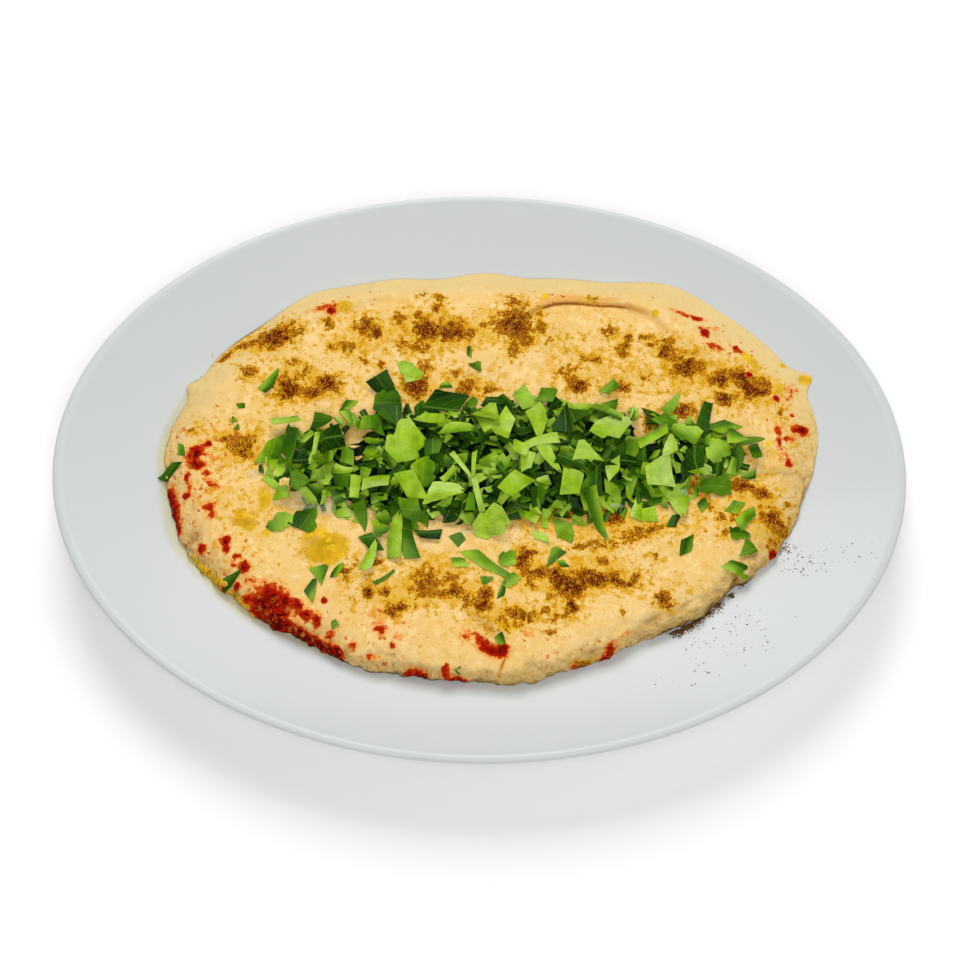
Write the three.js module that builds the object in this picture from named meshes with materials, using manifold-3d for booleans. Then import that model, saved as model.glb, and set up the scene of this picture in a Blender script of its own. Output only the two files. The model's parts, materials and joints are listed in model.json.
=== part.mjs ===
// Hummus on an oval platter: a white glazed platter, the dip spread over its well with a swirl raised
// along the back, a heap of chopped parsley down the middle, loose parsley round it, a film of olive oil
// along the left end and small puddles of oil in hollows of the dip.
// Millimetres, +Z up, +X along the platter, -Y towards the diner. The origin is the centre of the plane
// that the platter's foot stands on.
import * as THREE from "three";
import { mergeVertices } from "three/addons/utils/BufferGeometryUtils.js";
import Module from "manifold-3d";

const wasm = await Module();
wasm.setup();

// ---- Driving dimensions ----

const GAP = 0.35; // clearance between pieces that lie on each other

const PLATTER = {
  length: 290,
  width: 211,
  height: 24,
  floor: 7, // top of the well
  wellShare: 0.5, // share of the radius that is flat
  risePower: 1.5,
  wall: 4.4,
  lip: 3.6, // thickness of the rim's edge
  footShare: 0.48,
  footWidth: 4.5,
  segments: 80,
};

const DIP = {
  // Distance of the dip's edge from the platter's centre, every 15 degrees from +X towards +Y.
  edge: [
    114, 118, 110, 100, 88, 80, 78, 80, 85, 93, 100, 105,
    109, 104, 94, 86, 80, 76, 76, 76, 78, 83, 92, 106,
  ],
  edgeLump: 0.8, // how far the edge swells in and out between those
  // Points pulled out of the edge by the spoon: angle in degrees, reach, spread in degrees.
  beaks: [
    { at: 17.6, out: 5, spread: 1.8 },
    { at: 163, out: 3, spread: 1.8 },
  ],
  crown: 19.4, // height of the plateau above the foot's plane
  tilt: 1.6, // the plateau is this much higher at the front and lower at the back
  thinnest: 0.9, // thickness at the very edge
  shoulder: 15, // how far the edge's rounding reaches inwards, on average
  shoulderSwing: 7, // that much less at the front and more at the back
  steps: 108,
  rings: 15,
  undersideRings: 3,
};

// The spoon's ring round the back: a lip that falls sharply to the plateau and gently to the edge.
const SWIRL = { share: 0.87, height: 2.1, inner: 2.2, outer: 11, from: 8, to: 88, fade: 16 };
const SWIRL_END = { share: 0.9, height: 1.7, inner: 3, outer: 8, from: 118, to: 140, fade: 10 };

// Hollows pressed into the dip: centre, half sizes, turn in degrees and depth.
const HOLLOWS = [
  { x: 8, y: 3, length: 92, width: 27, turn: 2, depth: 2.6 }, // the trough that holds the parsley
  { x: 2, y: -62, length: 11, width: 4.5, turn: -38, depth: 2.6 }, // the crease at the front
  { x: -58, y: -24, length: 20, width: 12, turn: -20, depth: 1.2 }, // where the oil gathers
  { x: 62, y: -36, length: 30, width: 8, turn: 14, depth: 0.9 }, // a stroke of the spoon
];

const LUMPS = [
  { size: 0.45, across: 0.19, along: 0.13, phase: 1.1 },
  { size: 0.35, across: -0.11, along: 0.27, phase: 2.7 },
  { size: 0.22, across: 0.33, along: -0.24, phase: 0.4 },
];

const HEAP = {
  x: 8,
  y: 2,
  length: 80, // half length of the heap's core
  width: 22,
  turn: 2,
  height: 6.2,
  lift: 1.3, // the core lies this far above the dip
  steps: 36,
  rings: 4,
  leaves: 96,
  seed: 11,
};

const LEAF = { thickness: 0.6, longest: 14, shortest: 5, slenderest: 0.3, fullest: 0.75, tilt: 26 };

// Loose pieces of parsley on the dip: x, y, length, width, turn in degrees.
const LOOSE_LEAVES = [
  [-73, 32, 10, 4, 59],
  [-26, 37, 11, 7, -52],
  [-3, 42, 5, 3, 60],
  [-46, 26, 7, 3, 50],
  [-102, 2, 10, 4, 56],
  [-84, 21, 4, 3, 12],
  [-60, -21, 11, 8, 64],
  [-69, -22, 9, 6, 44],
  [-80, -39, 7, 4, 33],
  [-52, -40, 8, 6, -60],
  [-55, -46, 8, 4, 64],
  [-31, -43, 9, 2, 38],
  [3, -36, 20, 4, -37],
  [-6, -36, 6, 4, 6],
  [-7, -28, 6, 4, 43],
  [6, -46, 7, 3, 81],
  [11, -42, 6, 4, 37],
  [12, -33, 7, 6, 17],
  [25, -33, 9, 5, 42],
  [8, -63, 5, 3, -61],
  [90, -15, 8, 5, 60],
  [92, -20, 11, 4, 49],
  [88, -25, 8, 5, -5],
  [90, -30, 7, 5, 22],
  [70, -29, 9, 4, 79],
  [87, -36, 10, 5, -23],
  [56, -23, 10, 6, 12],
];

const OIL_FILM = { from: 160, to: 236, reach: 4, depth: 1.1, thinnest: 0.25, steps: 24 };

// Puddles of oil in hollows of the dip: centre, radius and depth.
const PUDDLES = [
  { name: "oil_puddle_large", x: -53, y: -30, radius: 6, depth: 1.6 },
  { name: "oil_puddle_small", x: -79, y: -21.5, radius: 3.4, depth: 1.2 },
];

// ---- Materials ----

function material(color, roughness) {
  return new THREE.MeshStandardMaterial({ color, roughness, metalness: 0 });
}

const glaze = material(0xe3e6e6, 0.15);
const chickpea = material(0xe8cb94, 0.6);
const parsley = material(0x4c8f27, 0.5);
const oil = material(0xb9a42c, 0.1);

// ---- Helpers ----

const radians = THREE.MathUtils.degToRad;
const mix = THREE.MathUtils.lerp;
const clamp = THREE.MathUtils.clamp;

// A seeded source of numbers from 0 to 1.
function draws(seed) {
  let state = seed;
  return () => {
    state = (state + 0x6d2b79f5) | 0;
    let t = Math.imul(state ^ (state >>> 15), 1 | state);
    t = (t + Math.imul(t ^ (t >>> 7), 61 | t)) ^ t;
    return ((t ^ (t >>> 14)) >>> 0) / 4294967296;
  };
}

// The geometry with only its positions, and one vertex where several met.
function welded(geometry) {
  geometry.deleteAttribute("normal");
  geometry.deleteAttribute("uv");
  return mergeVertices(geometry, 1e-3);
}

function moveVertices(geometry, place) {
  const position = geometry.getAttribute("position");
  const point = new THREE.Vector3();
  for (let i = 0; i < position.count; i++) {
    point.fromBufferAttribute(position, i);
    place(point);
    position.setXYZ(i, point.x, point.y, point.z);
  }
  return geometry;
}

function solidOf(geometry) {
  return new wasm.Manifold(
    new wasm.Mesh({
      numProp: 3,
      vertProperties: new Float32Array(geometry.getAttribute("position").array),
      triVerts: new Uint32Array(geometry.index.array),
    }),
  );
}

function geometryOf(solid) {
  const mesh = solid.getMesh();
  return new THREE.BufferGeometry()
    .setAttribute("position", new THREE.BufferAttribute(mesh.vertProperties, 3))
    .setIndex(new THREE.BufferAttribute(mesh.triVerts, 1));
}

// The solid's largest body, with loose scraps dropped and sealed hollows filled.
function largestBody(solid) {
  return solid.decompose().reduce((a, b) => (b.volume() > a.volume() ? b : a));
}

// A closed body of two discs of rings, from the axis out and back: at distance 1 they share their rim.
function discPair(steps, topRings, undersideRings) {
  const profile = [];
  for (let i = 0; i <= undersideRings; i++) profile.push(new THREE.Vector2(i / undersideRings, 0));
  profile.push(new THREE.Vector2(1, 1));
  for (let i = topRings - 1; i >= 0; i--) profile.push(new THREE.Vector2(i / topRings, 1));
  return welded(new THREE.LatheGeometry(profile, steps).rotateX(Math.PI / 2));
}

// ---- The platter ----

// Height of the platter's upper side at a share of its radius.
function platterRise(share) {
  const climb = Math.max(0, (share - PLATTER.wellShare) / (1 - PLATTER.wellShare));
  return PLATTER.floor + (PLATTER.height - PLATTER.floor) * climb ** PLATTER.risePower;
}

function platterTop(x, y) {
  return platterRise(Math.hypot((2 * x) / PLATTER.length, (2 * y) / PLATTER.width));
}

function platterProfile() {
  const radius = PLATTER.length / 2;
  const foot = radius * PLATTER.footShare;
  const points = [
    [0, PLATTER.floor - PLATTER.wall],
    [foot - PLATTER.footWidth - 2, PLATTER.floor - PLATTER.wall],
    [foot - PLATTER.footWidth, 0],
    [foot, 0],
    [foot + 2, PLATTER.floor - PLATTER.wall + 0.4],
  ];
  for (const share of [0.66, 0.82, 0.94]) {
    points.push([radius * share, platterRise(share) - PLATTER.wall]);
  }
  const round = PLATTER.lip / 2;
  for (const turn of [-50, 0, 45]) {
    points.push([
      radius - round + round * Math.cos(radians(turn)),
      PLATTER.height - round + round * Math.sin(radians(turn)),
    ]);
  }
  for (const share of [0.96, 0.88, 0.79, 0.7, 0.61, 0.5]) {
    points.push([radius * share, platterRise(share)]);
  }
  points.push([0, PLATTER.floor]);
  return points.map(([r, z]) => new THREE.Vector2(r, z));
}

function makePlatter() {
  const lathe = new THREE.LatheGeometry(platterProfile(), PLATTER.segments).rotateX(Math.PI / 2);
  return welded(lathe.scale(1, PLATTER.width / PLATTER.length, 1));
}

// ---- The dip ----

// Distance of the dip's edge from the centre, in the direction of a point.
function dipEdge(angle) {
  const step = 360 / DIP.edge.length;
  const turn = ((angle % 360) + 360) % 360;
  const slot = Math.floor(turn / step);
  const at = (i) => DIP.edge[(i + DIP.edge.length) % DIP.edge.length];
  const share = turn / step - slot;
  const [a, b, c, d] = [at(slot - 1), at(slot), at(slot + 1), at(slot + 2)];
  const curve = 2 * b + (c - a) * share;
  const bend = (2 * a - 5 * b + 4 * c - d) * share ** 2 + (3 * b - a - 3 * c + d) * share ** 3;
  const beaks = DIP.beaks.reduce((sum, beak) => sum + beak.out * bell((turn - beak.at) / beak.spread), 0);
  const lump = Math.sin(radians(9 * turn + 40)) + 0.6 * Math.sin(radians(17 * turn));
  return (curve + bend) / 2 + beaks + DIP.edgeLump * lump;
}

function bell(offset) {
  return Math.exp(-offset * offset);
}

function angleOf(x, y) {
  return THREE.MathUtils.radToDeg(Math.atan2(y, x));
}

// Height that a spoon's lip adds at a point, from its angle and its share of the way to the edge.
function lipAt(lip, angle, share, edge) {
  const turn = ((angle % 360) + 360) % 360;
  const away = (share - lip.share) * edge;
  const across = away < 0 ? bell(away / lip.inner) : bell(away / lip.outer);
  const ends = clamp((turn - lip.from) / lip.fade + 1, 0, 1) * clamp((lip.to - turn) / lip.fade + 1, 0, 1);
  return lip.height * across * ends;
}

function hollowAt(hollow, x, y) {
  const turn = radians(hollow.turn);
  const along = (x - hollow.x) * Math.cos(turn) + (y - hollow.y) * Math.sin(turn);
  const across = (y - hollow.y) * Math.cos(turn) - (x - hollow.x) * Math.sin(turn);
  return hollow.depth * Math.exp(-((along / hollow.length) ** 4) - (across / hollow.width) ** 4);
}

function lumpsAt(x, y) {
  return LUMPS.reduce((sum, l) => sum + l.size * Math.sin(l.across * x + l.along * y + l.phase), 0);
}

function dipTop(x, y) {
  const angle = angleOf(x, y);
  const edge = dipEdge(angle);
  const share = Math.min(1, Math.hypot(x, y) / edge);
  const width = DIP.shoulder + DIP.shoulderSwing * Math.sin(radians(angle));
  const inwards = clamp(((1 - share) * edge) / width, 0, 1);
  const round = Math.sqrt(1 - (1 - inwards) ** 2);
  const plateau = DIP.crown - (DIP.tilt * y) / (PLATTER.width / 2) + lumpsAt(x, y);
  const hollows = HOLLOWS.reduce((sum, hollow) => sum + hollowAt(hollow, x, y), 0);
  const lips = lipAt(SWIRL, angle, share, edge) + lipAt(SWIRL_END, angle, share, edge);
  const base = platterTop(x, y) + GAP + DIP.thinnest;
  return base + Math.max(0, plateau - hollows + lips - base) * round;
}

// Rings of the dip lie closer together towards the edge.
function ringSpacing(share) {
  return 1 - Math.max(0, 1 - share) ** 1.5;
}

function dipBody() {
  const body = discPair(DIP.steps, DIP.rings, DIP.undersideRings);
  return moveVertices(body, (point) => {
    const share = Math.hypot(point.x, point.y);
    if (share > 0) {
      const reach = (dipEdge(angleOf(point.x, point.y)) * ringSpacing(share)) / share;
      point.x *= reach;
      point.y *= reach;
    }
    point.z = point.z > 0.5 ? dipTop(point.x, point.y) : platterTop(point.x, point.y) + GAP;
  });
}

// ---- Parsley ----

// An irregular cut leaf: a straight cut edge on some sides, bent once along its length.
function leafBody(length, width, random) {
  const sides = 5;
  const outline = new THREE.Shape();
  for (let i = 0; i < sides; i++) {
    const turn = ((i + 0.35 * (random() - 0.5)) / sides) * 2 * Math.PI;
    const reach = mix(0.8, 1.1, random());
    const x = (length / 2) * reach * Math.cos(turn);
    const y = (width / 2) * reach * Math.sin(turn);
    if (i === 0) outline.moveTo(x, y);
    else outline.lineTo(x, y);
  }
  const leaf = welded(new THREE.ExtrudeGeometry(outline, { depth: LEAF.thickness, bevelEnabled: false }));
  const bend = mix(-0.12, 0.2, random());
  return moveVertices(leaf, (p) => {
    p.z += bend * length * ((2 * p.x) / length) ** 2;
  });
}

// Turns, tilts and places a leaf, and lifts it until no corner is nearer to the ground than the clearance.
function layLeaf(leaf, spot, ground, clearance) {
  leaf.rotateX(radians(spot.roll)).rotateY(radians(spot.pitch)).rotateZ(radians(spot.turn));
  leaf.translate(spot.x, spot.y, spot.z);
  let sunk = 0;
  moveVertices(leaf, (p) => {
    sunk = Math.max(sunk, ground(p.x, p.y) + clearance - p.z);
  });
  return leaf.translate(0, 0, sunk);
}

function looseLeaves() {
  const random = draws(5);
  return LOOSE_LEAVES.map(([x, y, length, width, turn]) => {
    const spot = { x, y, z: dipTop(x, y), turn, roll: mix(-7, 7, random()), pitch: mix(-7, 7, random()) };
    return layLeaf(leafBody(length, width, random), spot, dipTop, -0.45);
  });
}

// A point of the heap from its angle and its share of the way to the core's edge.
function heapPoint(angle, share) {
  const wobble = 1 + 0.09 * Math.sin(3 * angle + 0.6) + 0.07 * Math.sin(5 * angle + 2.1);
  const x = HEAP.length * share * wobble * Math.cos(angle);
  const y = HEAP.width * share * wobble * Math.sin(angle);
  const turn = radians(HEAP.turn);
  return {
    x: HEAP.x + x * Math.cos(turn) - y * Math.sin(turn),
    y: HEAP.y + x * Math.sin(turn) + y * Math.cos(turn),
  };
}

function heapThickness(share) {
  return HEAP.height * Math.sqrt(Math.max(0, 1 - share * share)) + 0.8;
}

function heapCore() {
  return moveVertices(discPair(HEAP.steps, HEAP.rings, HEAP.rings), (point) => {
    const share = Math.hypot(point.x, point.y);
    const { x, y } = heapPoint(Math.atan2(point.y, point.x), share);
    point.z = dipTop(x, y) + HEAP.lift + (point.z > 0.5 ? heapThickness(share) : 0);
    point.x = x;
    point.y = y;
  });
}

// Leaves over the heap, the largest first, spread evenly along a sunflower's spiral.
function heapLeaves() {
  const random = draws(HEAP.seed);
  const golden = Math.PI * (3 - Math.sqrt(5));
  const leaves = [];
  for (let i = 0; i < HEAP.leaves; i++) {
    const size = 1 - i / HEAP.leaves;
    const share = Math.sqrt(((i * 53) % HEAP.leaves) / HEAP.leaves) * 0.96;
    const { x, y } = heapPoint(i * golden, share);
    const length = mix(LEAF.shortest, LEAF.longest, size * mix(0.7, 1, random()));
    const width = length * mix(LEAF.slenderest, LEAF.fullest, random());
    const spot = {
      x,
      y,
      z: dipTop(x, y) + HEAP.lift + heapThickness(share) - 0.4,
      turn: 360 * random(),
      roll: LEAF.tilt * mix(-1, 1, random()),
      pitch: LEAF.tilt * mix(-1, 1, random()),
    };
    leaves.push(layLeaf(leafBody(length, width, random), spot, dipTop, HEAP.lift + 0.5));
  }
  return leaves;
}

// ---- Oil ----

// The film lies on the platter against the dip's edge, thick at the dip and thin at its outer edge.
function oilFilm() {
  const film = welded(new THREE.BoxGeometry(1, 1, 1, OIL_FILM.steps, 3, 1));
  return moveVertices(film, (point) => {
    const along = point.x + 0.5;
    const outwards = point.y + 0.5;
    const angle = mix(OIL_FILM.to, OIL_FILM.from, along);
    const swell = Math.sin(Math.PI * along) ** 0.5;
    const start = dipEdge(angle) + 2 * GAP;
    const reach = 0.4 + (OIL_FILM.reach + 0.6 * Math.sin(0.3 * angle)) * swell;
    const r = start + reach * outwards;
    const x = r * Math.cos(radians(angle));
    const y = r * Math.sin(radians(angle));
    const depth = mix(OIL_FILM.depth, OIL_FILM.thinnest, outwards ** 2);
    point.set(x, y, platterTop(x, y) + GAP + (point.z > 0 ? depth * mix(0.5, 1, swell) : 0));
  });
}

// A lens with a flat top at its own level, grown all round by the given margin.
function puddleBody({ x, y, radius, depth }, margin) {
  const level = dipTop(x, y) - 0.25;
  const profile = [new THREE.Vector2(0, -depth - margin)];
  for (const share of [0.55, 0.85, 1]) {
    profile.push(new THREE.Vector2(radius * share + margin, -depth * (1 - share ** 2) - margin));
  }
  profile.push(new THREE.Vector2(radius + margin, margin ? 4 : 0.15), new THREE.Vector2(0, margin ? 4 : 0.15));
  const lens = welded(new THREE.LatheGeometry(profile, 14).rotateX(Math.PI / 2));
  return lens.translate(x, y, level);
}

// ---- The whole ----

function addMesh(group, name, geometry, finish) {
  geometry.computeVertexNormals();
  const mesh = new THREE.Mesh(geometry, finish);
  mesh.name = name;
  group.add(mesh);
}

function makeDip() {
  let dip = solidOf(dipBody());
  for (const puddle of PUDDLES) dip = dip.subtract(solidOf(puddleBody(puddle, GAP)));
  for (const leaf of looseLeaves()) dip = dip.add(solidOf(leaf));
  return largestBody(dip);
}

// A leaf that would touch the dip, or a loose leaf on it, is left out.
function makeHeap(dip) {
  const leaves = heapLeaves().map(solidOf);
  const clear = leaves.filter((leaf) => leaf.minGap(dip, 2 * GAP) >= GAP);
  return largestBody(clear.reduce((whole, leaf) => whole.add(leaf), solidOf(heapCore())));
}

const dip = makeDip();
const dish = new THREE.Group();
addMesh(dish, "platter", makePlatter(), glaze);
addMesh(dish, "hummus", geometryOf(dip), chickpea);
addMesh(dish, "parsley_heap", geometryOf(makeHeap(dip)), parsley);
addMesh(dish, "oil_film", oilFilm(), oil);
for (const puddle of PUDDLES) addMesh(dish, puddle.name, puddleBody(puddle, 0), oil);

export default dish;
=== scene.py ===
"""Hummus on an oval platter: the looks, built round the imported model.

A white glazed platter, hummus spread over its well and pulled into lips along the back and the left end,
a heap of chopped flat parsley down the middle, loose parsley round it, ground cumin and paprika dusted
over the dip, and olive oil along the left end and in two hollows.
Pieces are modelled in millimetres, and settle() brings each into the frame's metres.
"""

import json
import math
import random
from functools import cached_property

import bpy
import numpy as np
from mathutils import Matrix, Vector, noise
from mathutils.bvhtree import BVHTree

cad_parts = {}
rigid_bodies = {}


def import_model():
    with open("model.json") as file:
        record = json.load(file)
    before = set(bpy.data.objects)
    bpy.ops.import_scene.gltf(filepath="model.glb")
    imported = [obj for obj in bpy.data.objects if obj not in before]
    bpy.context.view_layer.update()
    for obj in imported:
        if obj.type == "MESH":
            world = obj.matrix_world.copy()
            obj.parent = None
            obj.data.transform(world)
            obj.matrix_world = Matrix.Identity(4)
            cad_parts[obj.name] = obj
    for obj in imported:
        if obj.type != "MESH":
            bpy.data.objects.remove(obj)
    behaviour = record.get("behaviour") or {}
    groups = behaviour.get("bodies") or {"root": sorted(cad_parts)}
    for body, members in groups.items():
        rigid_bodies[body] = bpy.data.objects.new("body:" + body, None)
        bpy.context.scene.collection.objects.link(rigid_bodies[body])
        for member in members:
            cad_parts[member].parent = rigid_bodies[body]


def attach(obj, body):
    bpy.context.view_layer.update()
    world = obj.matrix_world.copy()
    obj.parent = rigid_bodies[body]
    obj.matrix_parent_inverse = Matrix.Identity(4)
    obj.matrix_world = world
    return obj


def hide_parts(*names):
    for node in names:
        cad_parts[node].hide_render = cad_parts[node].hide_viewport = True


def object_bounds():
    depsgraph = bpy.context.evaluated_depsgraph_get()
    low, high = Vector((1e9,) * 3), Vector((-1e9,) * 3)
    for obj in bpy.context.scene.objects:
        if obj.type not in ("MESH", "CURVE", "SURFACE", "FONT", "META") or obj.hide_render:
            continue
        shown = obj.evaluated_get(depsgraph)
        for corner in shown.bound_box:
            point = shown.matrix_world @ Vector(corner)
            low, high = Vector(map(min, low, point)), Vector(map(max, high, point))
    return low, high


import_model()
cad_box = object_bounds()

# ---- Sizes, in millimetres and degrees ----

MM = 0.001

PLATTER_LENGTH = 290
PLATTER_WIDTH = 211
PLATTER_HEIGHT = 24
PLATTER_FLOOR = 7
PLATTER_WALL = 4.4
PLATTER_LIP = 3.2
PLATTER_STEPS = 256
WELL_SHARE = 0.5  # share of the way to the rim where the well's floor begins to rise
RISE_POWER = 1.5
FOOT_SHARE = 0.48
FOOT_WIDTH = 4.5
FOOT_ROUND = 0.45

# Distance of the dip's edge from the platter's centre, every 15 degrees from +X towards +Y.
DIP_EDGE = (
    114, 118, 110, 100, 88, 80, 78, 80, 85, 93, 100, 105,
    109, 104, 94, 86, 80, 76, 76, 76, 78, 83, 92, 106,
)
# Unevenness of the edge: lumps round it, height, phase.
EDGE_LUMPS = ((9, 0.8, 40), (17, 0.48, 0))
BEAKS = ((17.6, 5, 1.8), (163, 3, 1.8))  # angle, reach, spread
CROWN = 19.4
TILT = 1.6
THINNEST = 0.3
SHOULDER = 15
SHOULDER_SWING = 7
SEAT = 0.04  # the dip lies this close to the platter
SHEET_LIFT = 0.1  # and its upper side at least this much higher
DIP_GRID = (364, 248)
SKIRT_RINGS = (0.985, 0.93, 0.8, 0.6, 0.35)
WALL_FROM = 0.84  # share of the way to the edge where the dip's wall begins
FRONT_FADE = 60  # the front wall's roughness fades over this far towards the back

# Crests of the lips that the spoon left: angles, and the distance from the centre at each.
BACK_CREST = (
    (0, 20, 32, 38, 43, 46, 50, 54, 58, 61.5, 64.5, 67.5, 70, 73, 75, 76.5, 80),
    (99, 99, 91, 86.8, 86.4, 85.4, 82.8, 79.8, 77, 74.6, 72.5, 70.3, 68.1, 65.4, 62.4, 59, 48),
)
LEFT_CREST = ((115, 125, 130, 145), (75, 78, 80, 86))
# The lips: crest, height, inner and outer width, from, to, fade.
LIPS = (
    (BACK_CREST, 2.2, 1.3, 11, 0, 76, 5),
    (LEFT_CREST, 1.7, 2.2, 8, 118, 140, 10),
)
# The back lip's inner foot widens towards the right: by how much, before which angle, over how many degrees.
SOFT_FOOT = (5, 46, 14)
# Marks along the back lip, an orange stain and, brown at its inner foot, painted shade: inset, width, from,
# to, fade, strength.
LIP_SHADE_AND_STAIN = ((1.5, 0.55, 45, 77.5, 7, 1.0), (-0.9, 1.8, 50, 77, 7, 0.42), (2.4, 1.8, 30, 50, 9, 0.22))
# From here on, a spot is: x, y, half length, half width, turn, and depth or strength.
# Painted shade along a crack in the front wall.
CRACK_SHADE = ((8.6, -70.5, 0.25, 4.5, -20, 0.8), (1.5, -66.5, 6, 0.5, -38, 0.5))
HOLLOWS = (
    (8, 3, 92, 27, 2, 2.6),
    (2, -62, 11, 4.5, -38, 2.2),
    (4.5, -64.5, 6.5, 1.3, -38, 1.6),
    (8.6, -70.5, 0.9, 5, -20, 1.1),
    (-58, -24, 20, 12, -20, 1.2),
    (62, -36, 30, 8, 14, 0.9),
)
LUMPS = ((0.45, 0.19, 0.13, 1.1), (0.35, -0.11, 0.27, 2.7), (0.22, 0.33, -0.24, 0.4))
# Fine relief of the dip: size of the lumps, height, and how much more of it the front wall has.
RELIEF = ((17, 0.5, 0), (6.5, 0.28, 3.0), (2.9, 0.2, 3.6), (1.5, 0.1, 2.8))

HEAP_X = 8
HEAP_Y = 2
HEAP_LENGTH = 80
HEAP_WIDTH = 22
HEAP_TURN = 2
HEAP_HEIGHT = 6.2
HEAP_LIFT = 1.3
HEAP_WAVES = ((3, 0.09, 0.6), (5, 0.07, 2.1))
# Gaps where the dip shows through the heap: x, y, radius.
HEAP_GAPS = ((-43, 9.5, 2.6), (-41, 3, 2), (55.5, 14, 3), (58, 9.5, 1.6), (-67, -16, 5))
HEAP_REACH = cad_box[1][2] / MM - 0.3
FILLERS = 600
FILLER_KINDS = ("cut", "cut", "cut", "tip", "lobed", "strip", "strip")
# Tones of the filling pieces; the darkest are partly painted shade deep in the heap.
FILLER_TONES = (0.06, 0.14, 0.3, 0.48, 0.6, 0.7, 0.82)
LEAF_THICKNESS = 0.3
TOOTH_PEAK = 0.72  # share of the way along a tooth where it stands out most

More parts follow.
